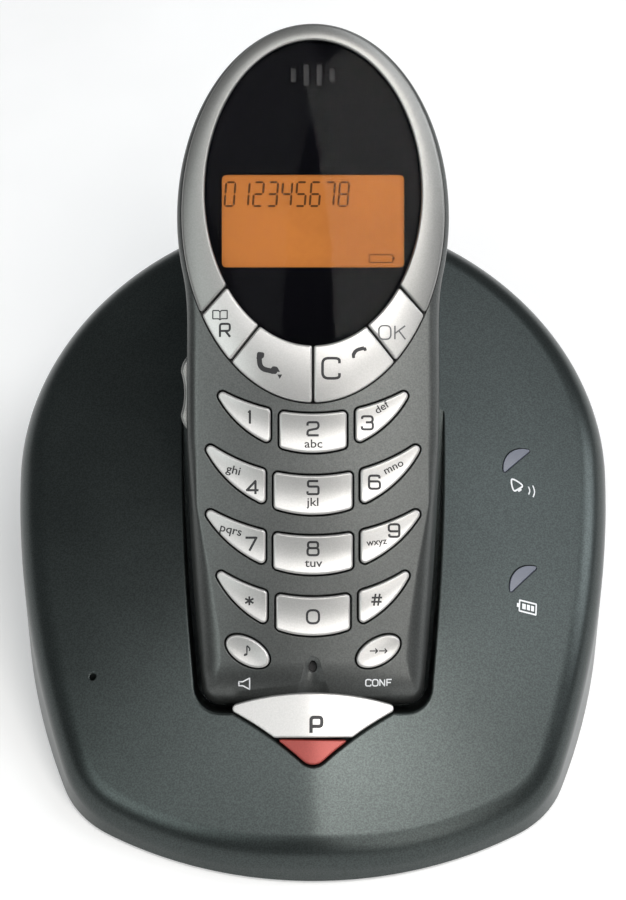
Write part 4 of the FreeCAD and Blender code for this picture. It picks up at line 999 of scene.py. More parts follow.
NODE_LOOKS = {
    "base_bottom_cover": (REAR_PAINT, "base_plastic", "base"),
    "base_feet": (BLACK_RUBBER, "black_rubber", "base"),
    "base_screws": (STEEL, "steel", "base"),
    "base_circuit_board": (BOARD_GREEN, "circuit_board", None),
    "base_radio_shield": (STEEL, "steel", None),
    "base_antenna": (BOARD_GREEN, "circuit_board", None),
    "base_leds": (CLEAR_LENS, "clear_lens", None),
    "base_buzzer": (BLACK_PLASTIC, "black_plastic", None),
    "contact_holder": (BLACK_PLASTIC, "black_plastic", "base"),
    "charge_contacts": (PLATED, "plated_contact", "base"),
    "line_jack": (BLACK_PLASTIC, "black_plastic", "base"),
    "power_jack": (BLACK_PLASTIC, "black_plastic", "base"),
    "paging_switch": (BLACK_PLASTIC, "black_plastic", None),
    "handset_rear_shell": (REAR_PAINT, "handset_rear_plastic", "handset"),
    "battery_cover": (REAR_PAINT, "handset_rear_plastic", "handset"),
    "earpiece_speaker": (BLACK_PLASTIC, "black_plastic", None),
    "key_mat": (GREY_RUBBER, "grey_rubber", None),
    "handset_circuit_board": (BOARD_GREEN, "circuit_board", None),
    "handset_radio_shield": (STEEL, "steel", None),
    "microphone": (BLACK_PLASTIC, "black_plastic", None),
    "battery_cells": (CELL_WRAP, "cell_wrap", None),
    "battery_contacts": (PLATED, "plated_contact", None),
    "handset_charge_pads": (PLATED, "plated_contact", "handset"),
    "ringer_speaker": (BLACK_PLASTIC, "black_plastic", "handset"),
    "handset_screws": (STEEL, "steel", "handset"),
}


def in_scene(name: str, data: bpy.types.ID) -> bpy.types.Object:
    """A new object, linked to the scene.

    Args:
        name: name of the object.
        data: what it shows.

    Returns:
        The object.
    """
    made = bpy.data.objects.new(name, data)
    bpy.context.scene.collection.objects.link(made)
    return made


def finished(
    mesh: bpy.types.Mesh,
    finish: Finish | Sequence[Finish],
    body: str,
    replaces: Sequence[str] = (),
) -> bpy.types.Object:
    """Put a mesh in the scene as a piece of the phone.

    Args:
        mesh: the mesh, whose name the piece takes.
        finish: its finish, or its finishes in the order of their numbers.
        body: the CAD body that it rides on.
        replaces: the CAD nodes that it stands for.

    Returns:
        The piece.
    """
    for one in [finish] if isinstance(finish, Finish) else finish:
        mesh.materials.append(one.material())
    piece = in_scene(mesh.name, mesh)
    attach(piece, body)
    if replaces:
        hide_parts(*replaces)
    log.info("%s: %d faces, rides on %s", piece.name, len(mesh.polygons), body)
    return piece


@dataclass(frozen=True)
class HandsetForm:
    """Outline and faces of the handset, in millimetres."""

    depth: float = 22.0
    parting: float = 12.0
    head_half: tuple[float, float] = (25.2, 35.8)
    head_centre: float = 90.2
    head_join: float = -0.29
    grip: tuple[tuple[float, float], ...] = ((20.6, 3.8), (22.55, 28.0), (23.35, 62.0))
    corner: float = 3.5
    across_radius: float = 110.0
    crown_start: float = 90.0
    crown_radius: float = 300.0
    roll_start: float = 8.0
    roll_radius: float = 12.0
    wall: float = 1.7

    def plain_face(self, x: Array, y: Array) -> Array:
        """Front face: a circle across, drooping to the top end and rolled over at the bottom.

        Args:
            x: places across.
            y: places along.

        Returns:
            Height at each place.
        """
        crown = np.maximum(y - self.crown_start, 0.0) ** 2 / (2.0 * self.crown_radius)
        into = np.clip(self.roll_start - y, 0.0, self.roll_radius)
        roll = self.roll_radius - np.sqrt(self.roll_radius**2 - into**2)
        return self.depth - x**2 / (2.0 * self.across_radius) - crown - roll

    def right_side(self) -> Array:
        """Right half of the outline, from the middle of the bottom end to the top.

        Returns:
            The points of the line.
        """
        foot, middle, top = self.grip
        corner_x = foot[0] - self.corner
        diagonal = self.corner / math.sqrt(2.0)
        corner = arc_through((corner_x, 0.0), (corner_x + diagonal, self.corner - diagonal), foot)
        half_width, half_height = self.head_half
        cos, sin = math.cos(self.head_join), math.sin(self.head_join)
        join = np.array([half_width * cos, self.head_centre + half_height * sin])
        slope = -half_width * sin / (half_height * cos)
        reach = (join[1] - top[1]) / 3.0
        poles = np.array(
            [top, (top[0] + 0.05, top[1] + reach), (join[0] - slope * reach, join[1] - reach), join]
        )
        t = np.linspace(0.0, 1.0, 80)[:, None]
        weights = [(1 - t) ** 3, 3 * t * (1 - t) ** 2, 3 * t**2 * (1 - t), t**3]
        neck = sum(w * pole for w, pole in zip(weights, poles))
        angle = np.linspace(self.head_join, math.pi / 2.0, 500)
        head = arc((0.0, self.head_centre), self.head_half, angle)
        bottom = straight((0.0, 0.0), (corner_x, 0.0))
        return joined([bottom, corner, arc_through(foot, middle, top), neck, head])

    def outline(self, spacing: float, stop: float | None = None) -> tuple[Loop, int]:
        """The whole outline.

        Args:
            spacing: distance between its points.
            stop: a distance along the right side that one point has to have.

        Returns:
            The outline, from the middle of the bottom end, and the index of the point at stop.
        """
        side = self.right_side()
        total = lengths(side)[-1]
        stop = total if stop is None else stop
        before = max(int(round(stop / spacing)), 1)
        after = max(int(round((total - stop) / spacing)), 1)
        places = np.concatenate(
            [np.linspace(0.0, stop, before + 1), np.linspace(stop, total, after + 1)[1:]]
        )
        places = places[: np.searchsorted(places, total - TINY) + 1]
        right = at_lengths(side, places)
        left = right[::-1][1:-1] * MIRROR
        return Loop.through(np.concatenate([right, left])), before


@dataclass(frozen=True)
class HeadForm:
    """Oval ring, window and display in the handset's head, in millimetres.

    The lens, the film and the display each have a level at the front and one at the back.
    """

    handset: HandsetForm = HandsetForm()
    ring_centre: float = 90.6
    ring_half: tuple[float, float] = (24.3, 35.0)
    ring_raise: float = 1.2
    ring_crown: float = 1.0
    ring_peak: float = 0.3
    ring_floor: float = 18.6
    recess_gap: float = 0.15
    window_centre: float = 94.4
    window_half: tuple[float, float] = (19.85, 28.0)
    window_sink: float = 0.35
    lens_half: tuple[float, float] = (19.8, 27.95)
    lens_back: float = 18.6
    film_front: float = 19.23
    film_back: float = 18.8
    display_centre: float = 89.3
    display_half: tuple[float, float] = (16.8, 8.55)
    display_corner: float = 0.8
    display_front: float = 18.7
    display_back: float = 15.0
    ceiling: float = 17.3
    end_line: tuple[tuple[float, float], ...] = ((16.1, 76.9), (20.6, 71.9))
    split_line: tuple[tuple[float, float], ...] = ((10.05, 69.65), (15.15, 63.3))
    division: float = 0.35

    def past(self, x: Array, y: Array, outer: bool) -> Array:
        """Rough distance outwards from the ring's outer or inner line.

        Args:
            x: places across.
            y: places along.
            outer: whether the outer line is meant.

        Returns:
            The distance at each place, below zero inside the line.
        """
        centre = self.ring_centre if outer else self.window_centre
        half = self.ring_half if outer else self.window_half
        share = np.sqrt((x / half[0]) ** 2 + ((y - centre) / half[1]) ** 2)
        return np.hypot(x, y - centre) * (1.0 - 1.0 / np.maximum(share, TINY))

    def ring(self, x: Array, y: Array) -> Array:
        """Surface of the ring: over the face, and falling with the square of the distance from
        a crest that lies nearer to the window than to the outer edge.

        Args:
            x: places across.
            y: places along.

        Returns:
            Height at each place.
        """
        inwards = np.maximum(self.past(x, y, False), 0.0)
        outwards = np.maximum(-self.past(x, y, True), 0.0)
        share = inwards / np.maximum(inwards + outwards, 0.1)
        crown = self.ring_crown * (share - self.ring_peak) ** 2
        return self.handset.plain_face(x, y) + self.ring_raise - crown

    def window(self, x: Array, y: Array) -> Array:
        """Surface of the window, a little under the ring."""
        return self.handset.plain_face(x, y) + self.ring_raise - self.window_sink

    def display_outline(self, grow: float) -> Loop:
        """Rounded rectangle round the display."""
        half = np.array(self.display_half) + grow
        return Loop.boxed((0.0, self.display_centre), half, self.display_corner, 0.5)


@dataclass(frozen=True)
class DigitRow:
    """One smile-shaped row of digit keys between two arcs, in millimetres.

    Args:
        top: lowest point of the upper arc.
        bottom: lowest point of the lower arc.
        radius: radius of the upper arc.
        reach: where the arcs meet, to each side.
        half: half the width of the middle key.
        inner: inner edge of the side keys.
        names: the row's keys from left to right.
    """

    top: float
    bottom: float
    radius: float
    reach: float
    half: float
    inner: float
    names: tuple[str, str, str]

    def upper(self, x: Array) -> Array:
        """Upper arc."""
        return self.top + self.radius - np.sqrt(self.radius**2 - x**2)

    def lower(self, x: Array) -> Array:
        """Lower arc, through the same tips.

        Args:
            x: places across.

        Returns:
            Y at each place.
        """
        rise = float(self.upper(np.array(self.reach))) - self.bottom
        radius = (self.reach**2 + rise**2) / (2.0 * rise)
        return self.bottom + radius - np.sqrt(radius**2 - x**2)

    def middle(self, x: Array) -> Array:
        """Line halfway between the two arcs."""
        return (self.upper(x) + self.lower(x)) / 2.0

    def band(self, left: float, right: float) -> list[Array]:
        """Edges of the stretch between two upright lines, anticlockwise.

        Args:
            left: X of the left line.
            right: X of the right line.

        Returns:
            The edges, each a line of points.
        """
        x = np.linspace(left, right, 160)
        low = np.stack([x, self.lower(x)], 1)
        high = np.stack([x, self.upper(x)], 1)[::-1]
        edges = [low]
        if abs(right) < self.reach:
            edges.append(straight(low[-1], high[0]))
        edges.append(high)
        if abs(left) < self.reach:
            edges.append(straight(high[-1], low[0]))
        return edges

    def outlines(self, corner: float) -> dict[str, Loop]:
        """Outline of each key of the row.

        Args:
            corner: radius of the corners.

        Returns:
            The outlines by the keys' names.
        """
        spans = ((-self.reach, -self.inner), (-self.half, self.half), (self.inner, self.reach))
        return {
            name: Loop.rounded(self.band(*span), corner, 0.3)
            for name, span in zip(self.names, spans)
        }


DIGIT_ROWS = (
    DigitRow(53.7, 46.5, 35.4, 18.5, 6.2, 7.8, ("key_1", "key_2", "key_3")),
    DigitRow(42.3, 35.1, 33.7, 20.9, 7.25, 8.7, ("key_4", "key_5", "key_6")),
    DigitRow(31.25, 24.1, 39.0, 21.05, 7.3, 8.7, ("key_7", "key_8", "key_9")),
    DigitRow(20.0, 12.9, 32.0, 18.7, 6.8, 8.4, ("key_star", "key_0", "key_hash")),
)


@dataclass
class Keypad:
    """The keys of the handset."""

    head: HeadForm = HeadForm()
    corner: float = 0.8
    lift: float = 0.7
    dish: float = 0.34
    gap: float = 0.3
    low: float = 16.9
    edge: float = 0.4
    oval_centre: tuple[float, float] = (12.0, 10.0)
    oval_half: tuple[float, float] = (4.4, 2.4)
    oval_tilt: float = 30.0
    oval_dish: float = 0.8
    band_lift: float = 0.6
    band_edge: float = 0.45
    band_grow: tuple[float, float] = (-0.14, 0.2)

    def row_level(self, row: DigitRow) -> Height:
        """Top of a row's keys: over the face, hollowed by a parabola across the row.

        Args:
            row: the row of keys.

        Returns:
            The surface.
        """
        face = self.head.handset.plain_face
        half = (row.top - row.bottom) / 2.0

        def level(x: Array, y: Array) -> Array:
            """Height of the hollowed top."""
            share = (y - row.middle(np.clip(x, -row.reach, row.reach))) / half
            return face(x, y) + self.lift - self.dish * (1.0 - share**2)

        return level

    def oval_level(self, side: int) -> Height:
        """Top of an oval key: over the face, hollowed by a bowl.

        Args:
            side: -1 for the left key and 1 for the right one.

        Returns:
            The surface.
        """
        face = self.head.handset.plain_face
        angle = math.radians(side * self.oval_tilt)

        def level(x: Array, y: Array) -> Array:
            """Height of the hollowed top.

            Args:
                x: places across.
                y: places along.

            Returns:
                The height at each place.
            """
            dx, dy = x - side * self.oval_centre[0], y - self.oval_centre[1]
            u = (dx * math.cos(angle) + dy * math.sin(angle)) / self.oval_half[0]
            v = (dy * math.cos(angle) - dx * math.sin(angle)) / self.oval_half[1]
            return face(x, y) + self.lift - self.dish * self.oval_dish * (1.0 - u**2 - v**2)

        return level

    def small_outlines(self) -> dict[str, tuple[Loop, Height]]:
        """Outline and top of every digit key and oval key.

        Returns:
            Outline and top by the keys' names.
        """
        found: dict[str, tuple[Loop, Height]] = {}
        for row in DIGIT_ROWS:
            for name, loop in row.outlines(self.corner).items():
                found[name] = (loop, self.row_level(row))
        x, y = self.oval_centre
        for name, side in (("key_ringer", -1), ("key_conference", 1)):
            loop = Loop.ellipse((side * x, y), self.oval_half, 72, side * self.oval_tilt)
            found[name] = (loop, self.oval_level(side))
        return found

    def function_outlines(self) -> dict[str, Loop]:
        """Outline of each of the four keys that carry the ring on below the window.

        Returns:
            The outlines by the keys' names.
        """
        half = self.head.division / 2.0
        end = self.shifted_line(self.head.end_line, -half)
        split_outer = self.shifted_line(self.head.split_line, half)
        split_inner = self.shifted_line(self.head.split_line, -half)
        middle = np.array([[half, 80.0], [half, 50.0]])
        found = {}
        for name, other, first, last in (
            ("key_ok", "key_phonebook", split_outer, end),
            ("key_clear", "key_talk", middle, split_inner),
        ):
            found[name] = Loop.rounded(self.band_piece(first, last), self.band_edge, 0.35)
            found[other] = Loop.through(found[name].points[::-1] * MIRROR)
        return found

    @staticmethod
    def shifted_line(ends: Sequence[Sequence[float]], by: float) -> Array:
        """A line from the window outwards, moved to its left side by a distance.

        Args:
            ends: its inner and its outer end.
            by: how far it is moved.

        Returns:
            Its two ends, each drawn out by two millimetres.
        """
        a, b = np.array(ends[0], float), np.array(ends[1], float)
        along = (b - a) / np.linalg.norm(b - a)
        side = np.array([-along[1], along[0]])
        return np.stack([a - 2.0 * along, b + 2.0 * along]) + by * side

    def band_piece(self, first: Array, last: Array) -> list[Array]:
        """Edges of the ring's band between two lines that cross it, anticlockwise.

        Args:
            first: line at which it starts.
            last: line at which it ends.

        Returns:
            The edges, each a line of points.
        """
        head = self.head
        angle = np.linspace(-math.pi / 2.0 - 0.05, 0.2, 6000)
        runs = []
        for centre, half, grow in (
            (head.ring_centre, head.ring_half, self.band_grow[0]),
            (head.window_centre, head.window_half, self.band_grow[1]),
        ):
            points = arc((0.0, centre), np.array(half) + grow, angle)
            kept = (left_of(first, points) >= 0.0) & (left_of(last, points) <= 0.0)
            runs.append(respaced(points[kept], FINE))
        outer, inner = runs
        return [outer, straight(outer[-1], inner[-1]), inner[::-1], straight(inner[0], outer[0])]

    def build(self) -> None:
        """Every key as a closed cap."""
        for name, (loop, level) in self.small_outlines().items():
            self.cap(name, loop, self.low, level, self.edge, 0.5)
        for name, loop in self.function_outlines().items():
            low = self.head.ring_floor + self.band_lift
            self.cap(name, loop, low, self.head.ring, self.band_edge, 0.6)

    @staticmethod
    def cap(
        name: str, loop: Loop, low: float, level: Height, edge: float, spacing: float
    ) -> None:
        """One key from its underside's level to its top, with a rolled edge.

        Args:
            name: the key's node.
            loop: outline of the wall.
            low: level of the underside.
            level: height of the top.
            edge: radius of the edge.
            spacing: distance between the points of the top.
        """
        skin = Skin(Drawn.HANDSET)
        skin.cap(loop, low, level, edge, spacing)
        finished(skin.mesh(f"{name}_cap"), KEY_PAINT, name, [name])


@dataclass
class Handset:
    """Casing, ring, window and display of the handset."""

    form: HandsetForm = HandsetForm()
    head: HeadForm = HeadForm()
    keypad: Keypad = field(default_factory=Keypad)
    mic_centre: float = 7.2
    mic_half: tuple[float, float] = (0.72, 1.1)
    groove_depth: float = 0.75
    groove_half: tuple[float, float] = (1.5, 3.8)
    groove_end: float = 1.9
    recess_wall: float = 1.6
    ring_grow: tuple[float, float] = (0.0, 0.12)
    ring_edges: tuple[float, float] = (0.8, 0.4)
    brow_places: tuple[float, ...] = (0.0, 3.8, 8.0, 13.0, 25.3, 37.0, 49.0, 60.0)
    brow_reach: tuple[float, ...] = (0.93, 2.6, 4.0, 4.2, 3.15, 1.5, 2.0, 2.2)
    brow_drop: tuple[float, ...] = (2.0, 3.4, 4.6, 5.0, 5.0, 4.4, 2.4, 2.4)
    brow_turn: tuple[float, ...] = (50.0, 62.0, 67.0, 70.0, 70.0, 70.0, 74.0, 78.0)
    rocker_span: tuple[float, float] = (49.45, 65.75)
    rocker_levels: tuple[float, float] = (13.25, 17.35)
    rocker_gap: float = 0.35
    rocker_edges: tuple[float, float] = (-21.7, -24.5)
    rocker_waist: tuple[float, float] = (-23.9, 57.6)
    rocker_lobe: float = 3.9
    rocker_shoulder: tuple[float, float] = (-23.75, 1.55)
    slot_heights: tuple[float, ...] = (3.0, 4.4, 4.4, 3.0)
    slot_half: float = 0.55
    slot_pitch: float = 2.4
    slot_place: float = 116.2

    def groove_width(self, y: Array) -> Array:
        """Half the groove's width, which grows evenly below the microphone."""
        below = np.clip(1.0 - y / self.mic_centre, 0.0, 1.3)
        return self.groove_half[0] + (self.groove_half[1] - self.groove_half[0]) * below

    def face(self, x: Array, y: Array) -> Array:
        """Front face with the groove below the microphone: a parabola across that widens
        downwards and closes in a round end above the hole.

        Args:
            x: places across.
            y: places along.

        Returns:
            Height at each place.
        """
        above = np.maximum(y - self.mic_centre, 0.0) / self.groove_end
        share = np.clip(1.0 - (x / self.groove_width(y)) ** 2 - above**2, 0.0, 1.0)
        return self.form.plain_face(x, y) - self.groove_depth * share

    def groove_points(self) -> Array:
        """Plan points that follow the groove's sides and its round end.

        Returns:
            The points, (n, 2).
        """
        shares = np.array([0.25, 0.55, 0.8, 0.93, 1.0, 1.05])
        y, across = np.meshgrid(
            np.linspace(1.2, self.mic_centre - 0.4, 14), np.concatenate([-shares, [0.0], shares])
        )
        share, turn = np.meshgrid(shares, np.radians(np.linspace(0.0, 180.0, 17)))
        x = np.append(across * self.groove_width(y), share * self.groove_half[0] * np.cos(turn))
        y = np.append(y, self.mic_centre + share * self.groove_end * np.sin(turn))
        reach = np.array(self.mic_half) + 0.3
        clear = (x / reach[0]) ** 2 + ((y - self.mic_centre) / reach[1]) ** 2 > 1.0
        return np.stack([x, y], 1)[clear]

    def recess_reach(self, loop: Loop) -> Array:
        """How far in from the outline the ring's recess begins, along each inward normal.

        The recess is an oval, so the distance is the smaller root of a square equation.

        Args:
            loop: the casing's outline.

        Returns:
            The distance at each point, FAR where the normal misses the recess.
        """
        half = np.array(self.head.ring_half) + self.head.recess_gap
        start = (loop.points - np.array([0.0, self.head.ring_centre])) / half
        step = loop.normals / half
        a = np.sum(step**2, axis=1)
        b = -2.0 * np.sum(start * step, axis=1)
        c = np.sum(start**2, axis=1) - 1.0
        root = np.sqrt(np.maximum(b**2 - 4.0 * a * c, 0.0))
        return np.where(b**2 > 4.0 * a * c, (-b - root) / (2.0 * a), FAR)

    def brow(self, loop: Loop) -> Brow:
        """Side band of the casing: wide and deep beside the keys, narrow round the head.

        Args:
            loop: the casing's outline.

        Returns:
            The band.
        """
        height = loop.points[:, 1]
        reach = np.interp(height, self.brow_places, self.brow_reach)
        drop = np.interp(height, self.brow_places, self.brow_drop)
        turn = np.radians(np.interp(height, self.brow_places, self.brow_turn))
        return Brow(loop, reach, drop, turn, self.face)

    def recess_start(self) -> float:
        """Distance along the right side at which the side band meets the ring's recess.

        Returns:
            The distance.
        """
        loop, _ = self.form.outline(FINE)
        brow = self.brow(loop)
        narrow = self.recess_reach(loop) <= brow.reach + brow.ease
        meets = narrow & (loop.points > (1.0, 30.0)).all(axis=1)
        return float(lengths(loop.points[: int(np.argmax(meets)) + 1])[-1])

    def inner_level(self, x: Array, y: Array) -> Array:
        """Underside of the front shell: under the face, and lower under the ring's recess.

        Args:
            x: places across.
            y: places along.

        Returns:
            Height at each place.
        """
        half = np.array(self.head.ring_half) + self.recess_wall
        oval = np.sqrt((x / half[0]) ** 2 + ((y - self.head.ring_centre) / half[1]) ** 2)
        share = 1.0 - smooth(1.0, 1.03, oval)
        under = self.form.plain_face(x, y) - self.form.wall
        return under + share * (self.head.ceiling - under)

    def front_shell(self) -> None:
        """Front half of the casing: rolled edge, face with its openings, recess for the ring. The
        walls of the openings and of the recess are black, as painted shade in the gaps round the
        keys and the ring.
        """
        skin = Skin(Drawn.HANDSET)
        loop, stop = self.form.outline(0.9, self.recess_start())
        count = len(loop.points)
        limit = self.recess_reach(loop)
        limit[: stop + 1] = limit[count - stop :] = FAR
        loop = self.with_stops(loop)
        band = self.brow(loop).rows(14, limit)
        levels = self.wall_levels(loop, band[0][:, 2])
        middle = loop.points[:, 1] + np.roll(loop.points[:, 1], -1)
        beside = (loop.points[:, 0] < 0.0) & (middle > 2.0 * self.rocker_span[0])
        beside &= middle < 2.0 * self.rocker_span[1]
        kept = np.ones((3, count), bool)
        kept[1, beside] = False
        skin.rows(np.stack([*levels, band[0]]), kept=kept)
        skin.rows(band)
        self.rocker_mouth(skin, loop, beside)
        half = np.array(self.head.ring_half) + self.head.recess_gap
        oval_centre = np.array([0.0, self.head.ring_centre])
        corner = (band[-1][stop, :2] - oval_centre) / half
        angle = math.atan2(corner[1], corner[0])
        low_arc = arc(oval_centre, half, np.linspace(-math.pi - angle, angle, 70)[1:-1])
        top_run = band[-1][stop : count - stop + 1]
        rim = np.concatenate([top_run, raised(low_arc, self.face)])
        floor = raised(rim[:, :2], self.head.ring_floor)
        # The recess's wall and floor under the ring are black: painted shade in the gap round the
        # ring.
        skin.coat = 1
        skin.rows(np.stack([rim, floor]))
        display = self.head.display_outline(0.5)
        display_hole = skin.well(display, level_at(self.head.ring_floor), 0.1, self.inner_level)
        skin.plate([floor[:, :2], display_hole], self.head.ring_floor, 3.0)
        skin.coat = 0
        outer = np.concatenate(
            [band[-1][: stop + 1, :2], low_arc[::-1], band[-1][count - stop :, :2]]
        )
        wells = [item[0].grown(self.keypad.gap) for item in self.keypad.small_outlines().values()]
        wells.append(Loop.ellipse((0.0, self.mic_centre), self.mic_half, 24))
        # The walls of the key and microphone openings are black: painted shade in the gaps.
        holes = [skin.well(well, self.face, 0.16, self.inner_level, 1) for well in wells]
        skin.plate([outer, *holes], self.face, 0.8, added=self.groove_points())
        skin.coat = 1
        inner = loop.grown(-self.form.wall)
        parting = self.form.parting
        skin.rows(stacked((inner.points, parting), (loop.points, parting)))
        ceiling = raised(inner.points, self.inner_level)
        levels = self.wall_levels(inner, ceiling[:, 2])[::-1]
        kept[0], kept[1] = True, ~beside
        skin.rows(np.stack([ceiling, *levels]), kept=kept)
        holes = [well.points for well in wells] + [display.points]
        skin.plate([inner.points, *holes], self.inner_level, 1.6, flip=True)
        # The second finish is black plastic: the casing's inside, and painted shade on the walls of
        # its gaps.
        mesh, finishes = skin.mesh("front_casing"), [FACE_PAINT, BLACK_PLASTIC]
        finished(mesh, finishes, "handset", ["handset_front_shell"])

    def with_stops(self, loop: Loop) -> Loop:
        """The outline with a point at each end of the rocker's opening in the left side.

        Args:
            loop: the casing's outline.

        Returns:
            The new outline.
        """
        points = loop.points.copy()
        side = np.where((points[:, 0] < -10.0) & (points[:, 1] > 20.0))[0]
        for stop in self.rocker_span:
            nearest = side[np.argmin(np.abs(points[side, 1] - stop))]
            order = side[np.argsort(points[side, 1])]
            across = np.interp(stop, points[order, 1], points[order, 0])
            points[nearest] = (across, stop)
        return Loop(points, Loop.through(points).normals)

    def wall_levels(self, loop: Loop, top: Array) -> list[Array]:
        """Parting edge of the wall, and its rows at the rocker opening's levels, under its top.

        Args:
            loop: outline of the wall.
            top: height of its upper edge at each point.

        Returns:
            The rows, from the parting edge upwards.
        """
        high = np.minimum(self.rocker_levels[1], top - 0.05)
        low = np.minimum(self.rocker_levels[0], high - 0.05)
        parting = raised(loop.points, self.form.parting)
        return [parting, *(np.column_stack([loop.points, level]) for level in (low, high))]

    def rocker_mouth(self, skin: Skin, loop: Loop, beside: NDArray[np.bool_]) -> None:
        """Sides of the rocker's opening, from the casing's outer wall to its inner wall.

        Args:
            skin: surface that takes the patches.
            loop: the casing's outline.
            beside: which of its sides lie in the opening.
        """
        chosen = np.where(beside)[0]
        chosen = np.append(chosen, chosen[-1] + 1)
        low, high = self.rocker_levels
        walls = []
        for grow in (0.0, -self.form.wall):
            plan = loop.grown(grow).points[chosen]
            walls.append(np.concatenate([raised(plan, low), raised(plan[::-1], high)]))
        skin.rows(np.stack(walls), flip=True)

    def rocker(self) -> None:
        """Volume rocker: two lobes that stand out of the left side, with a waist between."""
        low, high = self.rocker_span[0] + self.rocker_gap, self.rocker_span[1] - self.rocker_gap
        (inner, outer), (shoulder, rise) = self.rocker_edges, self.rocker_shoulder
        lowest, highest = (outer, low + self.rocker_lobe), (outer, high - self.rocker_lobe)
        edges = [
            straight((inner, high), (inner, low)),
            arc_through((inner, low), (shoulder, low + rise), lowest),
            arc_through(lowest, self.rocker_waist, highest),
            arc_through(highest, (shoulder, high - rise), (inner, high)),
        ]
        loop = Loop.rounded([respaced(edge, FINE)[::-1] for edge in edges[::-1]], 0.3, 0.35)
        skin = Skin(Drawn.HANDSET)
        levels = self.rocker_levels
        skin.bar(loop, levels[0] + self.rocker_gap, levels[1] - self.rocker_gap, 0.7, 0.8)
        mesh = skin.mesh("rocker")
        finished(mesh, RING_PAINT, "volume_rocker", ["volume_rocker"])

    def ring_outline(self) -> Loop:
        """The bright ring: most of the oval band, open at the bottom.

        Returns:
            The outline.
        """
        head = self.head
        line = Keypad.shifted_line(head.end_line, head.division / 2.0)
        angle = np.linspace(-0.9, math.pi / 2.0, 9000)
        runs = []
        for centre, half, grow in (
            (head.ring_centre, head.ring_half, self.ring_grow[0]),
            (head.window_centre, head.window_half, self.ring_grow[1]),
        ):
            points = arc((0.0, centre), np.array(half) + grow, angle)
            right = points[left_of(line, points) >= 0.0]
            runs.append(np.concatenate([right, right[::-1][1:] * MIRROR]))
        outer, inner = runs[0], runs[1][::-1]
        edges = [
            respaced(outer, FINE),
            straight(outer[-1], inner[0]),
            respaced(inner, FINE),
            straight(inner[-1], outer[0]),
        ]
        return Loop.rounded(edges, 0.45, 0.55)

    def ring(self) -> None:
        """Bright oval ring round the window, with a wider roll outside than inside."""
        loop = self.ring_outline()
        outside = np.abs(self.head.past(*loop.points.T, True)) < 0.25
        radius = np.where(outside, *self.ring_edges)
        weights = np.array([1.0, 2.0, 3.0, 2.0, 1.0])
        padded = np.concatenate([radius[-2:], radius, radius[:2]])
        radius = np.convolve(padded, weights / weights.sum(), "valid")
        skin = Skin(Drawn.HANDSET)
        skin.cap(loop, self.head.ring_floor, self.head.ring, radius, 0.8, 7)
        finished(skin.mesh("ring"), RING_PAINT, "handset", ["bezel_ring"])

    def ear_slots(self) -> list[Loop]:
        """Upright slots for sound in the window.

        Returns:
            Their outlines.
        """
        loops = []
        for i, height in enumerate(self.slot_heights):
            loop = Loop.boxed((0.0, 0.0), (self.slot_half, height / 2.0), 0.35, 0.2)
            loops.append(loop.shifted(((i - 1.5) * self.slot_pitch, self.slot_place)))
        return loops

    def window(self) -> None:
        """Clear lens, and in its back the black film, which also runs round its edge, and the
        display."""
        head = self.head
        oval = Loop.ellipse((0.0, head.window_centre), head.lens_half, 220)
        lens = Skin(Drawn.HANDSET)
        lens.cap(oval, head.lens_back, head.window, 0.3, 1.2, 4, self.ear_slots(), 0.2)
        mesh = lens.mesh("window_lens")
        finished(mesh, CLEAR_LENS, "handset", ["display_window"])
        film = Skin(Drawn.HANDSET)
        back, front = head.film_back, level_at(head.film_front)
        holes = [*(slot.grown(-0.04) for slot in self.ear_slots()), head.display_outline(0.0)]
        film.cap(oval.grown(-0.05), back, front, 0.05, 2.5, 2, holes, 0.05)
        rim = moved_up(head.window, -head.window_sink)
        outer, inner = (oval.grown(by).points for by in (0.1, 0.03))
        film.rows(
            stacked((outer, back), (outer, rim), (inner, rim), (inner, back), (outer, back))
        )
        finished(film.mesh("window_film"), BLACK_FILM, "handset", ["window_mask"])
        glass = Skin(Drawn.HANDSET)
        front = level_at(head.display_front)
        glass.cap(head.display_outline(0.4), head.display_back, front, 0.1, 2.5, 2)
        finished(glass.mesh("display"), DISPLAY_GLOW, "handset", ["lcd_module"])

    def build(self) -> None:
        """The handset without its keys."""
        self.front_shell()
        self.ring()
        self.window()
        self.rocker()


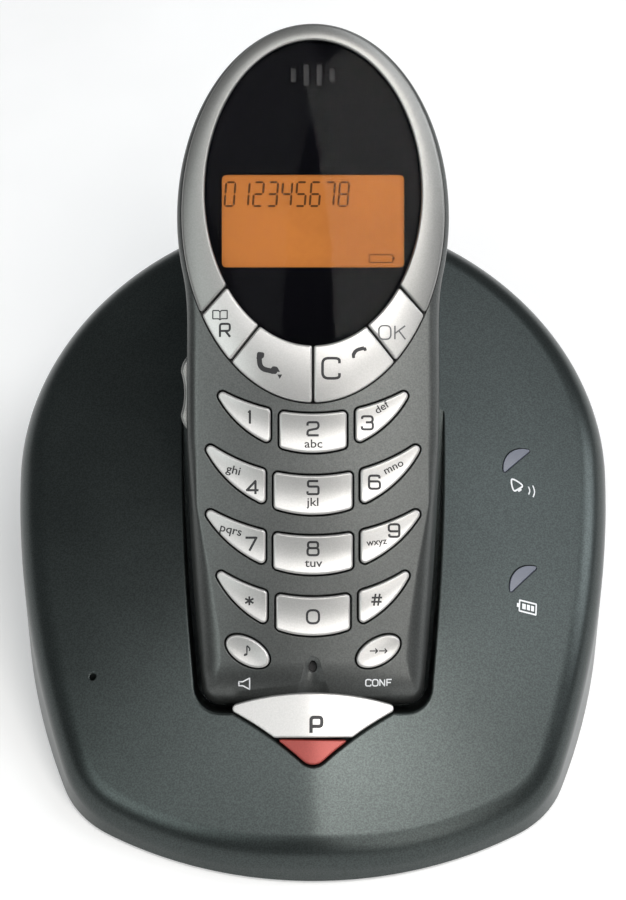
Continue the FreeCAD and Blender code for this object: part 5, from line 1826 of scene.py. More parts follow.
@dataclass(frozen=True)
class BaseForm:
    """Outline and top of the base, in millimetres."""

    half_width: float = 56.5
    widest: float = 38.0
    front: float = -38.3
    back: float = 89.0
    front_radius: float = 74.0
    corner_radius: float = 20.0
    side_radius: float = 160.0
    rim: float = 8.0
    bottom: float = 1.0
    roof: float = 3.5
    wall: float = 2.2
    front_height: float = 8.5
    front_slope: float = 0.675
    back_slope: float = 0.05
    crease_slope: float = 0.12
    crease_softness: float = 3.0
    across_radius: float = 260.0
    paging_raise: float = 1.15

    def top(self, x: Array, y: Array) -> Array:
        """Top: a slope that levels out backwards, falling away from a soft crease.

        Args:
            x: places across.
            y: places from front to back.

        Returns:
            Height at each place.
        """
        run = y - self.front
        length = self.back - self.front
        rise = self.front_slope * run
        rise = rise - (self.front_slope - self.back_slope) * run**2 / (2.0 * length)
        soft = self.crease_softness
        crease = self.crease_slope * (np.sqrt(x**2 + soft**2) - soft)
        return self.front_height + rise - crease - x**2 / (2.0 * self.across_radius)

    def outline(self, spacing: float) -> Loop:
        """Front arc, corner arc and side arc, each touching the next, and half an ellipse.

        Args:
            spacing: distance between its points.

        Returns:
            The outline.
        """
        front = np.array([0.0, self.front + self.front_radius])
        side = np.array([self.half_width - self.side_radius, self.widest])
        near = self.front_radius - self.corner_radius
        far = self.side_radius - self.corner_radius
        between = side - front
        gap = np.linalg.norm(between)
        share = (near**2 - far**2 + gap**2) / (2.0 * gap)
        height = math.sqrt(near**2 - share**2)
        across = np.array([-between[1], between[0]]) / gap
        choices = [front + between * share / gap + sign * height * across for sign in (-1, 1)]
        corner = min(choices, key=lambda point: point[1])
        to_corner, to_side = unit(corner - front), unit(corner - side)
        runs = []
        for centre, radius, start, end in (
            (front, self.front_radius, np.array([0.0, -1.0]), to_corner),
            (corner, self.corner_radius, to_corner, to_side),
            (side, self.side_radius, to_side, np.array([1.0, 0.0])),
        ):
            a, b = math.atan2(start[1], start[0]), math.atan2(end[1], end[0])
            turn = np.linspace(a, b, max(int(abs(b - a) * radius / FINE), 4))
            runs.append(arc(centre, radius, turn))
        half = (self.half_width, self.back - self.widest)
        back = arc((0.0, self.widest), half, np.linspace(0.0, math.pi / 2.0, 1200))
        right = respaced(joined([*runs, back]), spacing)
        left = right[::-1][1:-1] * MIRROR
        return Loop.through(np.concatenate([right, left]))

    def paging_level(self, x: Array, y: Array) -> Array:
        """Top of the paging key over the handset's back."""
        return self.out_of_handset(np.stack([x, y], 1), self.paging_raise)

    def out_of_handset(self, plan: Array, lift: float = 0.0) -> Array:
        """Height over a place in the handset frame at which a line out of it meets the top.

        Newton's rule on the difference between the line's height and the top's.

        Args:
            plan: places in the handset frame.
            lift: how far over the top the line ends.

        Returns:
            The height over the handset's back at each place.
        """
        cos, sin = math.cos(RECLINE), math.sin(RECLINE)
        u, v = plan[:, 0], plan[:, 1]
        w = np.full(len(plan), 15.0)
        for _ in range(12):
            y = v * cos - w * sin
            slope = (self.top(u, y + SLOPE_STEP) - self.top(u, y - SLOPE_STEP)) / (2 * SLOPE_STEP)
            gap = SEAT_HEIGHT + v * sin + w * cos - self.top(u, y) - lift
            w = w - gap / (cos + sin * slope)
        return w


@dataclass
class Base:
    """Casing of the base, its indicator lenses and the paging key."""

    form: BaseForm = BaseForm()
    handset: HandsetForm = HandsetForm()
    pocket_gap: float = 1.4
    floor: float = -0.5
    lip: float = 0.5
    paging_tip: tuple[float, float] = (16.1, -0.35)
    paging_top: float = 2.4
    paging_flank: tuple[tuple[float, float], ...] = ((6.4, -6.2), (1.87, -9.83))
    paging_apex: float = -10.55
    paging_corner: float = 0.8
    paging_split: float = -5.9
    paging_gap: float = 0.3
    paging_depth: float = 1.8
    blind_depth: float = 2.6
    shelf: float = 17.0
    lens_places: tuple[tuple[float, float], ...] = ((38.9, 33.1), (39.6, 10.9))
    lens_half: float = 3.9
    lens_width: float = 2.1
    lens_turn: float = 46.0
    lens_gap: float = 0.1
    lens_lip: float = 0.12
    lens_rise: float = 0.1
    lens_depth: float = 2.4
    hole_place: tuple[float, float] = (-41.0, -5.6)
    hole_radius: float = 0.6
    hole_lip: float = 0.25
    socket_mouths: tuple[tuple[float, ...], ...] = ((-16.4, -3.6, 19.2), (4.3, 13.7, 18.8))
    socket_low: float = 7.8
    socket_behind: float = 80.0
    socket_depth: float = 85.9
    slot_place: tuple[float, float] = (6.5, 9.0)
    slot_half: tuple[float, float] = (1.5, 2.5)
    slot_depth: float = 1.8

    def paging_edges(self) -> list[Array]:
        """Edges of the paging key's shield shape in the handset frame, anticlockwise.

        Returns:
            The edges, each a line of points.
        """
        right = [np.array(point) for point in (self.paging_tip, *self.paging_flank)]
        left = [point * MIRROR for point in right]
        return [
            arc_through(right[0], (0.0, self.paging_top), left[0]),
            arc_through(*left),
            arc_through(left[2], (0.0, self.paging_apex), right[2]),
            arc_through(*right[::-1]),
        ]

    def paging_outline(self) -> Loop:
        """Whole outline of the paging key."""
        return Loop.rounded(self.paging_edges(), self.paging_corner, 0.4)

    def pocket_plan(self) -> tuple[Array, Array, Array]:
        """The right half of the pocket's mouth, and its front, in the handset frame.

        Returns:
            The part along the pocket's wall, from the paging key up the right side to where the
            floor comes out of the top; that last point; and the part that follows the paging key,
            from left to right.
        """
        loop, _ = self.handset.outline(0.9)
        wall = loop.grown(self.pocket_gap).points
        right = wall[: len(wall) // 2 + 1]
        level = self.form.out_of_handset(right)
        last = int(np.argmax((level < self.floor) & (right[:, 1] > 20.0)))
        share = (level[last - 1] - self.floor) / (level[last - 1] - level[last])
        exit_point = right[last - 1] + share * (right[last] - right[last - 1])
        paging = self.paging_outline().grown(self.paging_gap).points
        low = paging[paging[:, 1] < right[0, 1]]
        low = low[np.argsort(low[:, 0])]
        first = low[-1]
        bottom = right[0, 1]
        right = right[right[:, 0] > first[0] + 0.4]
        right = right[right[:, 1] <= exit_point[1]]
        side = np.concatenate([[[first[0] + 0.05, bottom]], right, [exit_point]])
        return side, exit_point, low

    def back_mouth(self, exit_point: Array) -> Array:
        """Where the pocket's floor comes out of the top, from the right end to the left.

        Args:
            exit_point: where the right wall ends.

        Returns:
            The points in the handset frame, (n, 2).
        """
        cos, sin = math.cos(RECLINE), math.sin(RECLINE)
        u = np.linspace(exit_point[0], -exit_point[0], 52)
        v = np.full(len(u), exit_point[1])
        for _ in range(20):
            gap = SEAT_HEIGHT + v * sin + self.floor * cos
            gap = gap - self.form.top(u, v * cos - self.floor * sin)
            v = v - gap / (sin - self.form.back_slope)
        return np.stack([u, v], 1)

    def top_shell(self) -> None:
        """Domed shell with the pocket let into it."""
        form = self.form
        skin = Skin(Drawn.BASE)
        loop = self.with_stops(form.outline(1.3))
        band = rolled_edge(loop, form.rim, form.top, 14)
        self.back_wall(skin, loop, band[0])
        skin.rows(band)
        side, exit_point, low = self.pocket_plan()
        back = self.back_mouth(exit_point)
        plan = np.concatenate([side, back[1:-1], side[::-1] * MIRROR, low])
        side_count, back_count = len(side), len(back) - 2
        height = form.out_of_handset(plan)
        height[side_count - 1 : side_count + back_count + 1] = self.floor
        mouth = Drawn.HANDSET.place(np.column_stack([plan, height]))
        flat = Loop.through(mouth[:, :2])
        outer = raised(flat.grown(self.lip).points, form.top)
        drop = np.minimum(self.lip, np.maximum(height - self.floor, 0.0))
        wall = mouth - drop[:, None] * HANDSET_OUT
        on_floor = slice(side_count, side_count + back_count)
        from_end = np.minimum(np.arange(1, back_count + 1), np.arange(back_count, 0, -1))
        into = self.lip * np.minimum(from_end / 4.0, 1.0)
        wall[on_floor] = mouth[on_floor] - into[:, None] * HANDSET_UP
        skin.rows(bend(outer, mouth, wall, 5))
        self.pocket(skin, plan, wall, side_count, back_count)
        holes = [outer[:, :2]]
        bottom = moved_up(form.top, -self.blind_depth)
        sound = Loop.ellipse(self.hole_place, (self.hole_radius,) * 2, 28)
        wells = [(lens, self.lens_lip) for lens in self.lens_outlines(self.lens_gap)]
        wells.append((sound, self.hole_lip))
        for well, lip in wells:
            holes.append(skin.well(well, form.top, lip, bottom))
        for well, _ in wells:
            skin.plate([well.points], bottom, 1.0)
        skin.plate([band[-1][:, :2], *holes], form.top, 1.5)
        inner = loop.grown(-form.wall)
        skin.rows(stacked((inner.points, form.bottom), (loop.points, form.bottom)))
        skin.rows(stacked((inner.points, form.roof), (inner.points, form.bottom)))
        skin.plate([inner.points], form.roof, 8.0, flip=True)
        mesh = skin.mesh("base_casing")
        finished(mesh, BASE_PAINT, "base", ["base_top_shell"])

    def with_stops(self, loop: Loop) -> Loop:
        """The outline with a point at each side of the two socket openings in the back.

        Args:
            loop: the casing's outline.

        Returns:
            The new outline.
        """
        points = loop.points.copy()
        behind = np.where(points[:, 1] > self.socket_behind)[0]
        deep = self.form.back - self.form.widest
        for mouth in self.socket_mouths:
            for across in mouth[:2]:
                nearest = behind[np.argmin(np.abs(points[behind, 0] - across))]
                share = math.sqrt(1.0 - (across / self.form.half_width) ** 2)
                points[nearest] = (across, self.form.widest + deep * share)
        return Loop(points, Loop.through(points).normals)

    def back_wall(self, skin: Skin, loop: Loop, top: Array) -> None:
        """Wall of the casing with its socket openings.

        Args:
            skin: surface that takes the patches.
            loop: the casing's outline.
            top: the wall's upper edge.
        """
        low = self.socket_low
        line_high, power_high = (mouth[2] for mouth in self.socket_mouths)
        levels = (self.form.bottom, low, power_high, line_high)
        rows = np.stack([*(raised(loop.points, level) for level in levels), top])
        following = np.roll(loop.points[:, 0], -1)
        middle = (loop.points[:, 0] + following) / 2.0
        kept = np.ones((4, len(loop.points)), bool)
        for (left, right, high), last in zip(self.socket_mouths, (3, 2)):
            open_part = (middle > left) & (middle < right)
            open_part &= loop.points[:, 1] > self.socket_behind
            kept[1:last, open_part] = False
            chosen = np.where(open_part)[0]
            plan = loop.points[np.append(chosen, chosen[-1] + 1)]
            mouth = np.concatenate([raised(plan, low), raised(plan[::-1], high)])
            deep = mouth.copy()
            deep[:, 1] = self.socket_depth
            skin.rows(np.stack([mouth, deep]), flip=True)
        front = top[:, 2] < line_high + 0.1
        rows[2, front] = raised(loop.points, low + 0.02)[front]
        rows[3, front] = raised(loop.points, low + 0.04)[front]
        lowest = top[:, 2] < low + 0.1
        rows[1:4, lowest] = top[lowest] - np.array([0.0, 0.0, 0.05])
        skin.rows(rows, kept=kept)

    def pocket(self, skin: Skin, plan: Array, wall: Array, side: int, back: int) -> None:
        """Walls and floor of the pocket, and the shelf under the paging key.

        Args:
            skin: surface that takes the patches.
            plan: the mouth in the handset frame.
            wall: the lower edge of the mouth's lip, in the base frame.
            side: number of the mouth's points on each side.
            back: number of its points at the back.
        """
        left = side + back
        floor_at = lambda points: Drawn.HANDSET.place(raised(points, self.floor))
        for start in (0, left):
            part = slice(start, start + side)
            skin.rows(np.stack([wall[part], floor_at(plan[part])]), closed=False)
        shelf = Drawn.HANDSET.place(raised(plan[left + side :], self.shelf))
        skin.rows(np.stack([wall[left + side :], shelf]), closed=False)
        back_plan = wall[side:left] @ np.stack([[1.0, 0.0, 0.0], HANDSET_UP], 1)
        back_plan[:, 1] -= SEAT_HEIGHT * HANDSET_UP[2]
        front = np.linspace(plan[left + side - 1], plan[0], 40)[1:-1]
        floor = np.concatenate([plan[:side], back_plan, plan[left : left + side], front])
        slots = []
        for sign in (-1.0, 1.0):
            slots.append(box((sign * self.slot_place[0], self.slot_place[1]), self.slot_half))
            deep = stacked((slots[-1], self.floor), (slots[-1], self.floor - self.slot_depth))
            skin.rows(deep, drawn=Drawn.HANDSET)
        skin.plate([floor, *slots], self.floor, 2.0, drawn=Drawn.HANDSET)
        across = np.concatenate([plan[left + side - 1 : left + side], front, plan[:1]])
        front_rows = stacked((across, self.shelf), (across, self.floor))
        skin.rows(front_rows, closed=False, drawn=Drawn.HANDSET)
        shelf_plan = np.concatenate([across[::-1], plan[left + side :]])
        skin.plate([shelf_plan], self.shelf, 1.5, drawn=Drawn.HANDSET)

    def lens_outlines(self, grow: float) -> list[Loop]:
        """Half-moon outline of each indicator lens.

        Args:
            grow: how far outside the lens each outline lies.

        Returns:
            The outlines.
        """
        tip = self.lens_half
        edges = [
            arc_through((tip, 0.0), (0.0, self.lens_width), (-tip, 0.0)),
            straight((-tip, 0.0), (tip, 0.0)),
        ]
        loop = Loop.rounded(edges, 0.25, 0.25).grown(grow)
        turn = turned(self.lens_turn)
        aslant = Loop(loop.points @ turn, loop.normals @ turn)
        return [aslant.shifted(place) for place in self.lens_places]

    def lenses(self) -> None:
        """Smoked heads of the two light pipes, a little proud of the top."""
        for name, loop in zip(("upper", "lower"), self.lens_outlines(0.0)):
            skin = Skin(Drawn.BASE)
            low = float(self.form.top(*loop.points.T).min()) - self.lens_depth
            skin.cap(loop, low, moved_up(self.form.top, self.lens_rise), 0.15, 0.5, 3)
            mesh = skin.mesh(f"lens_{name}")
            finished(mesh, SMOKED_LENS, "base", [f"light_pipe_{name}"])

    def paging_key(self) -> None:
        """Bright shield and its red lower point."""
        level = self.form.paging_level
        whole = self.paging_outline().points
        for name, low_part, finish, slot, node in (
            ("paging_cap", False, KEY_PAINT, "silver_plastic", "paging_key"),
            ("paging_point", True, RED_PAINT, "red_plastic", "paging_key_tip"),
        ):
            loop = self.cut_outline(whole, self.paging_split, low_part)
            skin = Skin(Drawn.HANDSET)
            low = float(level(*loop.points.T).min()) - self.paging_depth
            skin.cap(loop, low, level, 0.3, 0.6, 4)
            finished(skin.mesh(name), finish, "paging_key", [node])

    @staticmethod
    def cut_outline(whole: Array, split: float, low_part: bool) -> Loop:
        """The part of an outline on one side of a line straight across it.

        Args:
            whole: points of the outline.
            split: Y of the line.
            low_part: whether the part below it is meant.

        Returns:
            The part's own outline.
        """
        keep = whole[:, 1] < split - 0.04 if low_part else whole[:, 1] > split + 0.04
        start = int(np.argmax(keep & ~np.roll(keep, 1)))
        kept = np.roll(whole, -start, 0)[: int(keep.sum())]
        edge = straight(kept[-1], kept[0])
        return Loop.rounded([respaced(kept, FINE), edge], 0.25, 0.35)

    def build(self) -> None:
        """The base's visible pieces."""
        self.top_shell()
        self.lenses()
        self.paging_key()


@dataclass(frozen=True)
class Stroke:
    """One stroke or one filled patch of a sign, in a box about one high.

    Args:
        points: its corners; a filled patch runs anticlockwise.
        radius: how far the rounding of a corner reaches.
        closed: whether the last corner is followed by the first.
        filled: whether it is a patch.
        weight: width against the sign's pen.
    """

    points: tuple[tuple[float, float], ...]
    radius: float
    closed: bool = False
    filled: bool = False
    weight: float = 1.0

    def path(self) -> Array:
        """Its line, with every corner a parabola between the two sides.

        Returns:
            The points, (n, 2).
        """
        corners = np.array(self.points)
        count = len(corners)
        parts = []
        for i in range(count):
            here = corners[i]
            if not (self.closed or self.filled) and i in (0, count - 1):
                parts.append(here[None])
                continue
            before, after = corners[i - 1] - here, corners[(i + 1) % count] - here
            into, out = np.linalg.norm(before), np.linalg.norm(after)
            start = here + before / into * min(self.radius, into / 2.0)
            end = here + after / out * min(self.radius, out / 2.0)
            parts.append(bend(start[None], here[None], end[None], 6)[:, 0])
        line = np.concatenate(parts)
        apart = np.linalg.norm(line - np.roll(line, 1, 0), axis=1) > 1e-5
        apart[0] |= not (self.closed or self.filled)
        return line[apart]


def pairs(numbers: Sequence[int]) -> tuple[tuple[float, float], ...]:
    """Corners from X and Y in turn, in hundredths."""
    return tuple((x / 100, y / 100) for x, y in zip(numbers[::2], numbers[1::2]))


def line(radius: int, *corners: int, closed: bool = False, weight: float = 1.0) -> Stroke:
    """A stroke of a sign, with its lengths in hundredths."""
    return Stroke(pairs(corners), radius / 100, closed, weight=weight)


def patch(radius: int, *corners: int) -> Stroke:
    """A filled patch of a sign, with its lengths in hundredths."""
    return Stroke(pairs(corners), radius / 100, filled=True)


def upright(left: int, low: int, right: int, high: int) -> tuple[int, ...]:
    """The corners of an upright box."""
    return left, low, right, low, right, high, left, high


SIGNS: dict[str, tuple[Stroke, ...]] = {
    "0": (line(40, *upright(-46, -50, 46, 50), closed=True),),
    "1": (line(2, -12, 36, 0, 50, 0, -50),),
    "2": (
        line(22, -42, 24, -42, 50, 42, 50, 42, 3, -42, -12, -42, -50),
        line(20, -42, -50, 44, -50),
    ),
    "3": (
        line(22, -40, 30, -40, 50, 40, 50, 40, 4, -12, 4),
        line(22, 10, 4, 42, 4, 42, -50, -42, -50, -42, -26),
    ),
    "4": (line(3, 22, -50, 22, 50, -44, -20, 46, -20),),
    "5": (line(14, 40, 50, -38, 50, -38, 8, 42, 8, 42, -50, -42, -50, -42, -28),),
    "6": (line(22, 38, 28, 38, 50, -42, 50, -42, -50, 42, -50, 42, 6, -42, 6),),
    "7": (line(3, -42, 50, 42, 50, -12, -50),),
    "8": (
        line(20, *upright(-38, 4, 38, 50), closed=True),
        line(22, *upright(-42, -50, 42, 4), closed=True),
    ),
    "9": (line(22, -38, -28, -38, -50, 42, -50, 42, 50, -42, 50, -42, -6, 42, -6),),
    "*": (line(20, 0, 34, 0, -34), line(20, -32, 18, 32, -18), line(20, -32, -18, 32, 18)),
    "#": (
        line(20, -8, 46, -22, -46),
        line(20, 24, 46, 10, -46),
        line(20, -38, 16, 42, 16),
        line(20, -42, -16, 38, -16),
    ),
    "C": (line(30, 42, 24, 42, 50, -42, 50, -42, -50, 42, -50, 42, -24),),
    "O": (line(36, *upright(-44, -50, 44, 50), closed=True),),
    "K": (line(20, -38, -50, -38, 50), line(20, 38, 50, -36, -6), line(20, -10, 14, 40, -50)),
    "R": (line(20, -38, -50, -38, 50, 38, 50, 38, -4, -38, -4), line(20, 4, -4, 40, -50)),
    "P": (line(20, -36, -50, -36, 50, 38, 50, 38, -8, -36, -8),),
    "N": (line(2, -38, -50, -38, 50, 38, -50, 38, 50),),
    "F": (line(2, -36, -50, -36, 50, 40, 50), line(20, -36, 2, 28, 2)),
    "note": (
        patch(14, -32, -50, 0, -42, 2, -20, -30, -26),
        line(12, -2, -36, -2, 50, 28, 20, 20, 0),
    ),
    "arrows": (
        line(20, -105, 0, -10, 0),
        line(0, -38, 30, -10, 0, -38, -30),
        line(20, 10, 0, 105, 0),
        line(0, 77, 30, 105, 0, 77, -30),
    ),
    "speaker": (line(2, -55, -18, -20, -18, 40, -50, 40, 50, -20, 18, -55, 18, closed=True),),
    "book": (
        line(
            4, -70, 40, -15, 40, 0, 28, 15, 40, 70, 40, 70, -40, 15, -40, 0, -50, -15,
            -40, -70, -40, closed=True
        ),
        line(20, 0, 28, 0, -50),
    ),
    "receiver": (
        line(40, -30, 30, -26, -22, 30, -34, weight=1.7),
        patch(10, -42, 14, -10, 22, -6, 46, -38, 50),
        patch(10, 14, -44, 46, -46, 50, -14, 24, -12),
    ),
    "receiver_down": (
        line(35, -50, -5, -15, 22, 50, 10, weight=1.5),
        patch(8, -66, -24, -44, -30, -36, -4, -58, 4),
        patch(8, 38, -12, 62, -16, 64, 12, 42, 16),
    ),
    "up": (patch(0, -50, -40, 50, -40, 0, 50),),
    "down": (patch(0, -50, 40, 0, -50, 50, 40),),
    "bell": (
        line(22, -46, -26, -30, 20, 0, 62, 30, 20, 46, -26, closed=True),
        patch(8, *upright(-16, -44, 16, -24)),
    ),
    "waves": (line(30, -24, 30, -12, 0, -24, -30), line(40, 10, 44, 26, 0, 10, -44)),
    "battery": (
        line(4, *upright(-75, -45, 75, 45), closed=True),
        patch(0, *upright(-98, -16, -78, 16)),
        patch(0, *upright(-50, -22, -18, 22)),
        patch(0, *upright(-8, -22, 20, 22)),
        patch(0, *upright(30, -22, 56, 22)),
    ),
    "cell": (
        line(4, *upright(-140, -45, 130, 45), closed=True),
        patch(0, *upright(134, -20, 156, 20)),
    ),
}


@dataclass(frozen=True)
class Print:
    """A sign and its place on a surface.

    Args:
        sign: name of the sign, or a word.
        centre: its centre in the surface's plan.
        height: height of the sign, or of a capital letter of the word.
        pen: width of its strokes.
        turn: how far it is turned anticlockwise, in degrees.
        stretch: its width against its height.
    """

    sign: str
    centre: tuple[float, float]
    height: float
    pen: float = 0.3
    turn: float = 0.0
    stretch: float = 1.0

    def placed(self, points: Array, shift: float = 0.0) -> Array:
        """Points of the sign's box in the surface's plan."""
        sized = (points + np.array([shift, 0.0])) * self.height * np.array([self.stretch, 1.0])
        return sized @ turned(self.turn) + np.array(self.centre)


@dataclass
class Ink:
    """Thin printed signs on a surface."""

    skin: Skin
    level: Height
    lift: float = 0.02
    sink: float = 0.04
    pitch: float = 1.12
    letter_size: float = 1.8
    letter_weight: float = 0.012

    def top(self, x: Array, y: Array) -> Array:
        """Upper side of the ink."""
        return self.level(x, y) + self.lift

    def bottom(self, x: Array, y: Array) -> Array:
        """Lower side of the ink, under the printed surface."""
        return self.level(x, y) - self.sink

    def put(self, item: Print) -> None:
        """Take one sign or one word.

        Args:
            item: the sign or word and its place.
        """
        if item.sign in SIGNS:
            self.sign(item, item.sign, 0.0)
        elif all(letter in SIGNS for letter in item.sign):
            for i, letter in enumerate(item.sign):
                self.sign(item, letter, (i - (len(item.sign) - 1) / 2.0) * self.pitch)
        else:
            self.word(item)

    def sign(self, item: Print, name: str, shift: float) -> None:
        """Take the strokes and patches of one sign, some way along the word.

        Args:
            item: the print that it belongs to.
            name: name of the sign.
            shift: how far along the word it stands, in heights.
        """
        for stroke in SIGNS[name]:
            path = item.placed(stroke.path(), shift)
            path = divided(path, 0.3, stroke.closed or stroke.filled)
            if stroke.filled:
                self.blot(path)
            else:
                self.ribbon(path, item.pen * stroke.weight / 2.0, stroke.closed)

    def blot(self, outline: Array) -> None:
        """Take a filled patch.

        Args:
            outline: its corners, anticlockwise.
        """
        self.skin.rows(stacked((outline, self.bottom), (outline, self.top)))
        self.skin.plate([outline], self.top, 1.0)
        self.skin.plate([outline], self.bottom, 1.0, flip=True)

    def ribbon(self, path: Array, half: float, closed: bool) -> None:
        """Take a stroke of even width: each side of its path is moved out along the mitre.

        The mitre is the sum of the two neighbouring sides' normals over one plus their product.

        Args:
            path: its middle line.
            half: half its width.
            closed: whether the last point is followed by the first.
        """
        step = np.roll(path, -1, 0) - path
        if not closed:
            step[-1] = step[-2]
        ahead = unit(np.stack([-step[:, 1], step[:, 0]], 1))
        behind = np.roll(ahead, 1, 0)
        if not closed:
            behind[0] = ahead[0]
        share = np.maximum(1.0 + np.sum(ahead * behind, axis=1), 0.4)
        out = half * (ahead + behind) / share[:, None]
        left, right = path + out, path - out
        left_top, left_low = raised(left, self.top), raised(left, self.bottom)
        right_top, right_low = raised(right, self.top), raised(right, self.bottom)
        sides = [right_low, right_top, left_top, left_low, right_low]
        for first, second in zip(sides, sides[1:]):
            self.skin.rows(np.stack([first, second]), closed=closed)
        if not closed:
            for i, order in ((0, -1), (-1, 1)):
                low = np.stack([right_low[i], left_low[i]])[::order]
                high = np.stack([right_top[i], left_top[i]])[::order]
                self.skin.rows(np.stack([low, high]), closed=False)

    def word(self, item: Print) -> None:
        """Take a word in Blender's own letters, made a mesh and laid on the surface.

        Args:
            item: the word and its place.
        """
        curve = bpy.data.curves.new("letters", "FONT")
        curve.body = item.sign
        curve.align_x, curve.align_y = "CENTER", "CENTER"
        curve.resolution_u = 3
        curve.extrude = 0.01
        curve.offset = self.letter_weight
        text = in_scene("letters", curve)
        shape = text.evaluated_get(bpy.context.evaluated_depsgraph_get()).to_mesh()
        shape.calc_loop_triangles()
        points = np.array([vertex.co[:] for vertex in shape.vertices])
        faces = np.array([triangle.vertices[:] for triangle in shape.loop_triangles])
        bpy.data.objects.remove(text)
        bpy.data.curves.remove(curve)
        plan = item.placed(points[:, :2] * self.letter_size)
        high = points[:, 2] > 0.0
        height = np.where(high, self.top(*plan.T), self.bottom(*plan.T))
        corners = np.column_stack([plan, height])[faces]
        normal = unit(np.cross(corners[:, 1] - corners[:, 0], corners[:, 2] - corners[:, 0]))
        index = np.arange(3 * len(faces)).reshape(-1, 3)[:, [0, 1, 2, 2]]
        self.skin.add(corners.reshape(-1, 3), np.repeat(normal, 3, 0), index)


def figure(sign: str, x: float, y: float, height: float = 2.4) -> Print:
    """The figure of a digit key."""
    return Print(sign, (x, y), height, 0.42)


def letters(word: str, x: float, y: float, height: float, turn: float, stretch: float) -> Print:
    """The letters of a digit key."""
    return Print(word, (x, y), height, turn=turn, stretch=stretch)


KEY_PRINTS: dict[str, tuple[Print, ...]] = {
    "key_1": (figure("1", -11.6, 53.0, 2.3),),
    "key_2": (figure("2", 0.0, 50.9), letters("abc", 0.1, 48.1, 1.2, 0.0, 1.15)),
    "key_3": (figure("3", 10.0, 52.0), letters("def", 12.6, 54.8, 1.1, 33.0, 1.1)),
    "key_4": (figure("4", -11.1, 40.1), letters("ghi", -14.6, 43.3, 1.2, -14.0, 1.1)),
    "key_5": (figure("5", 0.0, 40.1), letters("jkl", 0.0, 37.4, 1.2, 0.0, 1.15)),
    "key_6": (figure("6", 11.3, 41.1), letters("mno", 14.8, 43.9, 1.1, 27.0, 1.1)),
    "key_7": (figure("7", -11.4, 29.7), letters("pqrs", -15.1, 32.3, 1.2, -14.0, 1.1)),
    "key_8": (figure("8", 0.0, 28.9), letters("tuv", 0.1, 26.2, 1.2, 0.0, 1.15)),
    "key_9": (figure("9", 14.9, 32.2, 2.3), letters("wxyz", 11.7, 30.1, 1.0, 6.0, 1.0)),
    "key_star": (Print("*", (-11.7, 19.3), 2.4, 0.34),),
    "key_0": (figure("0", 0.0, 16.4),),
    "key_hash": (Print("#", (11.7, 19.5), 2.4, 0.34),),
    "key_ringer": (Print("note", (-12.1, 10.1), 2.0, 0.24),),
    "key_conference": (Print("arrows", (12.0, 10.1), 1.5, 0.22),),
    "key_talk": (
        Print("receiver", (-8.6, 62.9), 4.3, 0.55),
        Print("up", (-6.5, 61.7), 0.9),
        Print("down", (-6.1, 60.5), 0.9),
    ),
    "key_clear": (
        Print("C", (3.3, 62.0), 3.7, 0.5),
        Print("receiver_down", (8.4, 65.0), 2.4, 0.45, 25.0),
    ),
    "key_phonebook": (Print("book", (-17.1, 71.9), 1.9, 0.22), Print("R", (-16.2, 69.0), 2.4, 0.4)),
    "key_ok": (Print("OK", (14.6, 68.6), 2.5, 0.28),),
}
CASING_PRINTS = (
    Print("speaker", (-12.5, 4.0), 2.1, 0.24),
    Print("CONF", (12.1, 4.2), 1.2, 0.22, 0.0, 0.95),
)
PAGING_PRINTS = (Print("P", (0.6, -3.35), 2.8, 0.62, 0.0, 0.95),)
BASE_PRINTS = (
    Print("bell", (38.6, 28.3), 2.6, 0.28, 38.0),
    Print("waves", (41.5, 27.8), 2.5, 0.22),
    Print("battery", (40.2, 6.1), 2.1, 0.26, -4.0),
)


@dataclass(frozen=True)
class Readout:
    """Seven-bar figures on the display, in millimetres."""

    figures: str = "012345678"
    left: float = -15.3
    middle: float = 94.3
    pitch: float = 2.62
    half: tuple[float, float] = (0.85, 2.2)
    bar: float = 0.4
    bar_gap: float = 0.08
    slant: float = 0.08
    bars: tuple[str, ...] = ("abcdef", "bc", "abged", "abgcd", "fgbc", "afgcd", "afgedc", "abc")

    def lit(self, figure: str) -> str:
        """The bars of a figure; an eight and a blank nine have all."""
        value = int(figure)
        return self.bars[value] if value < len(self.bars) else "abcdefg"

    def outlines(self) -> list[Array]:
        """Outline of every bar: a six-sided strip with pointed ends.

        Returns:
            The outlines in plan.
        """
        x, y = self.half
        ends = {
            "a": ((-x, y), (x, y)),
            "b": ((x, 0.0), (x, y)),
            "c": ((x, -y), (x, 0.0)),
            "d": ((-x, -y), (x, -y)),
            "e": ((-x, -y), (-x, 0.0)),
            "f": ((-x, 0.0), (-x, y)),
            "g": ((-x, 0.0), (x, 0.0)),
        }
        found = []
        for i, figure in enumerate(self.figures):
            for name in self.lit(figure):
                start, end = (np.array(point) for point in ends[name])
                along = unit(end - start)
                side = np.array([-along[1], along[0]]) * self.bar / 2.0
                a, b = start + along * self.bar_gap, end - along * self.bar_gap
                tip = along * self.bar / 2.0
                low, high = (a + tip - side, b - tip - side), (b - tip + side, a + tip + side)
                line = np.stack([a, *low, b, *high])
                line[:, 0] += self.slant * line[:, 1]
                found.append(line + np.array([self.left + i * self.pitch, self.middle]))
        return found


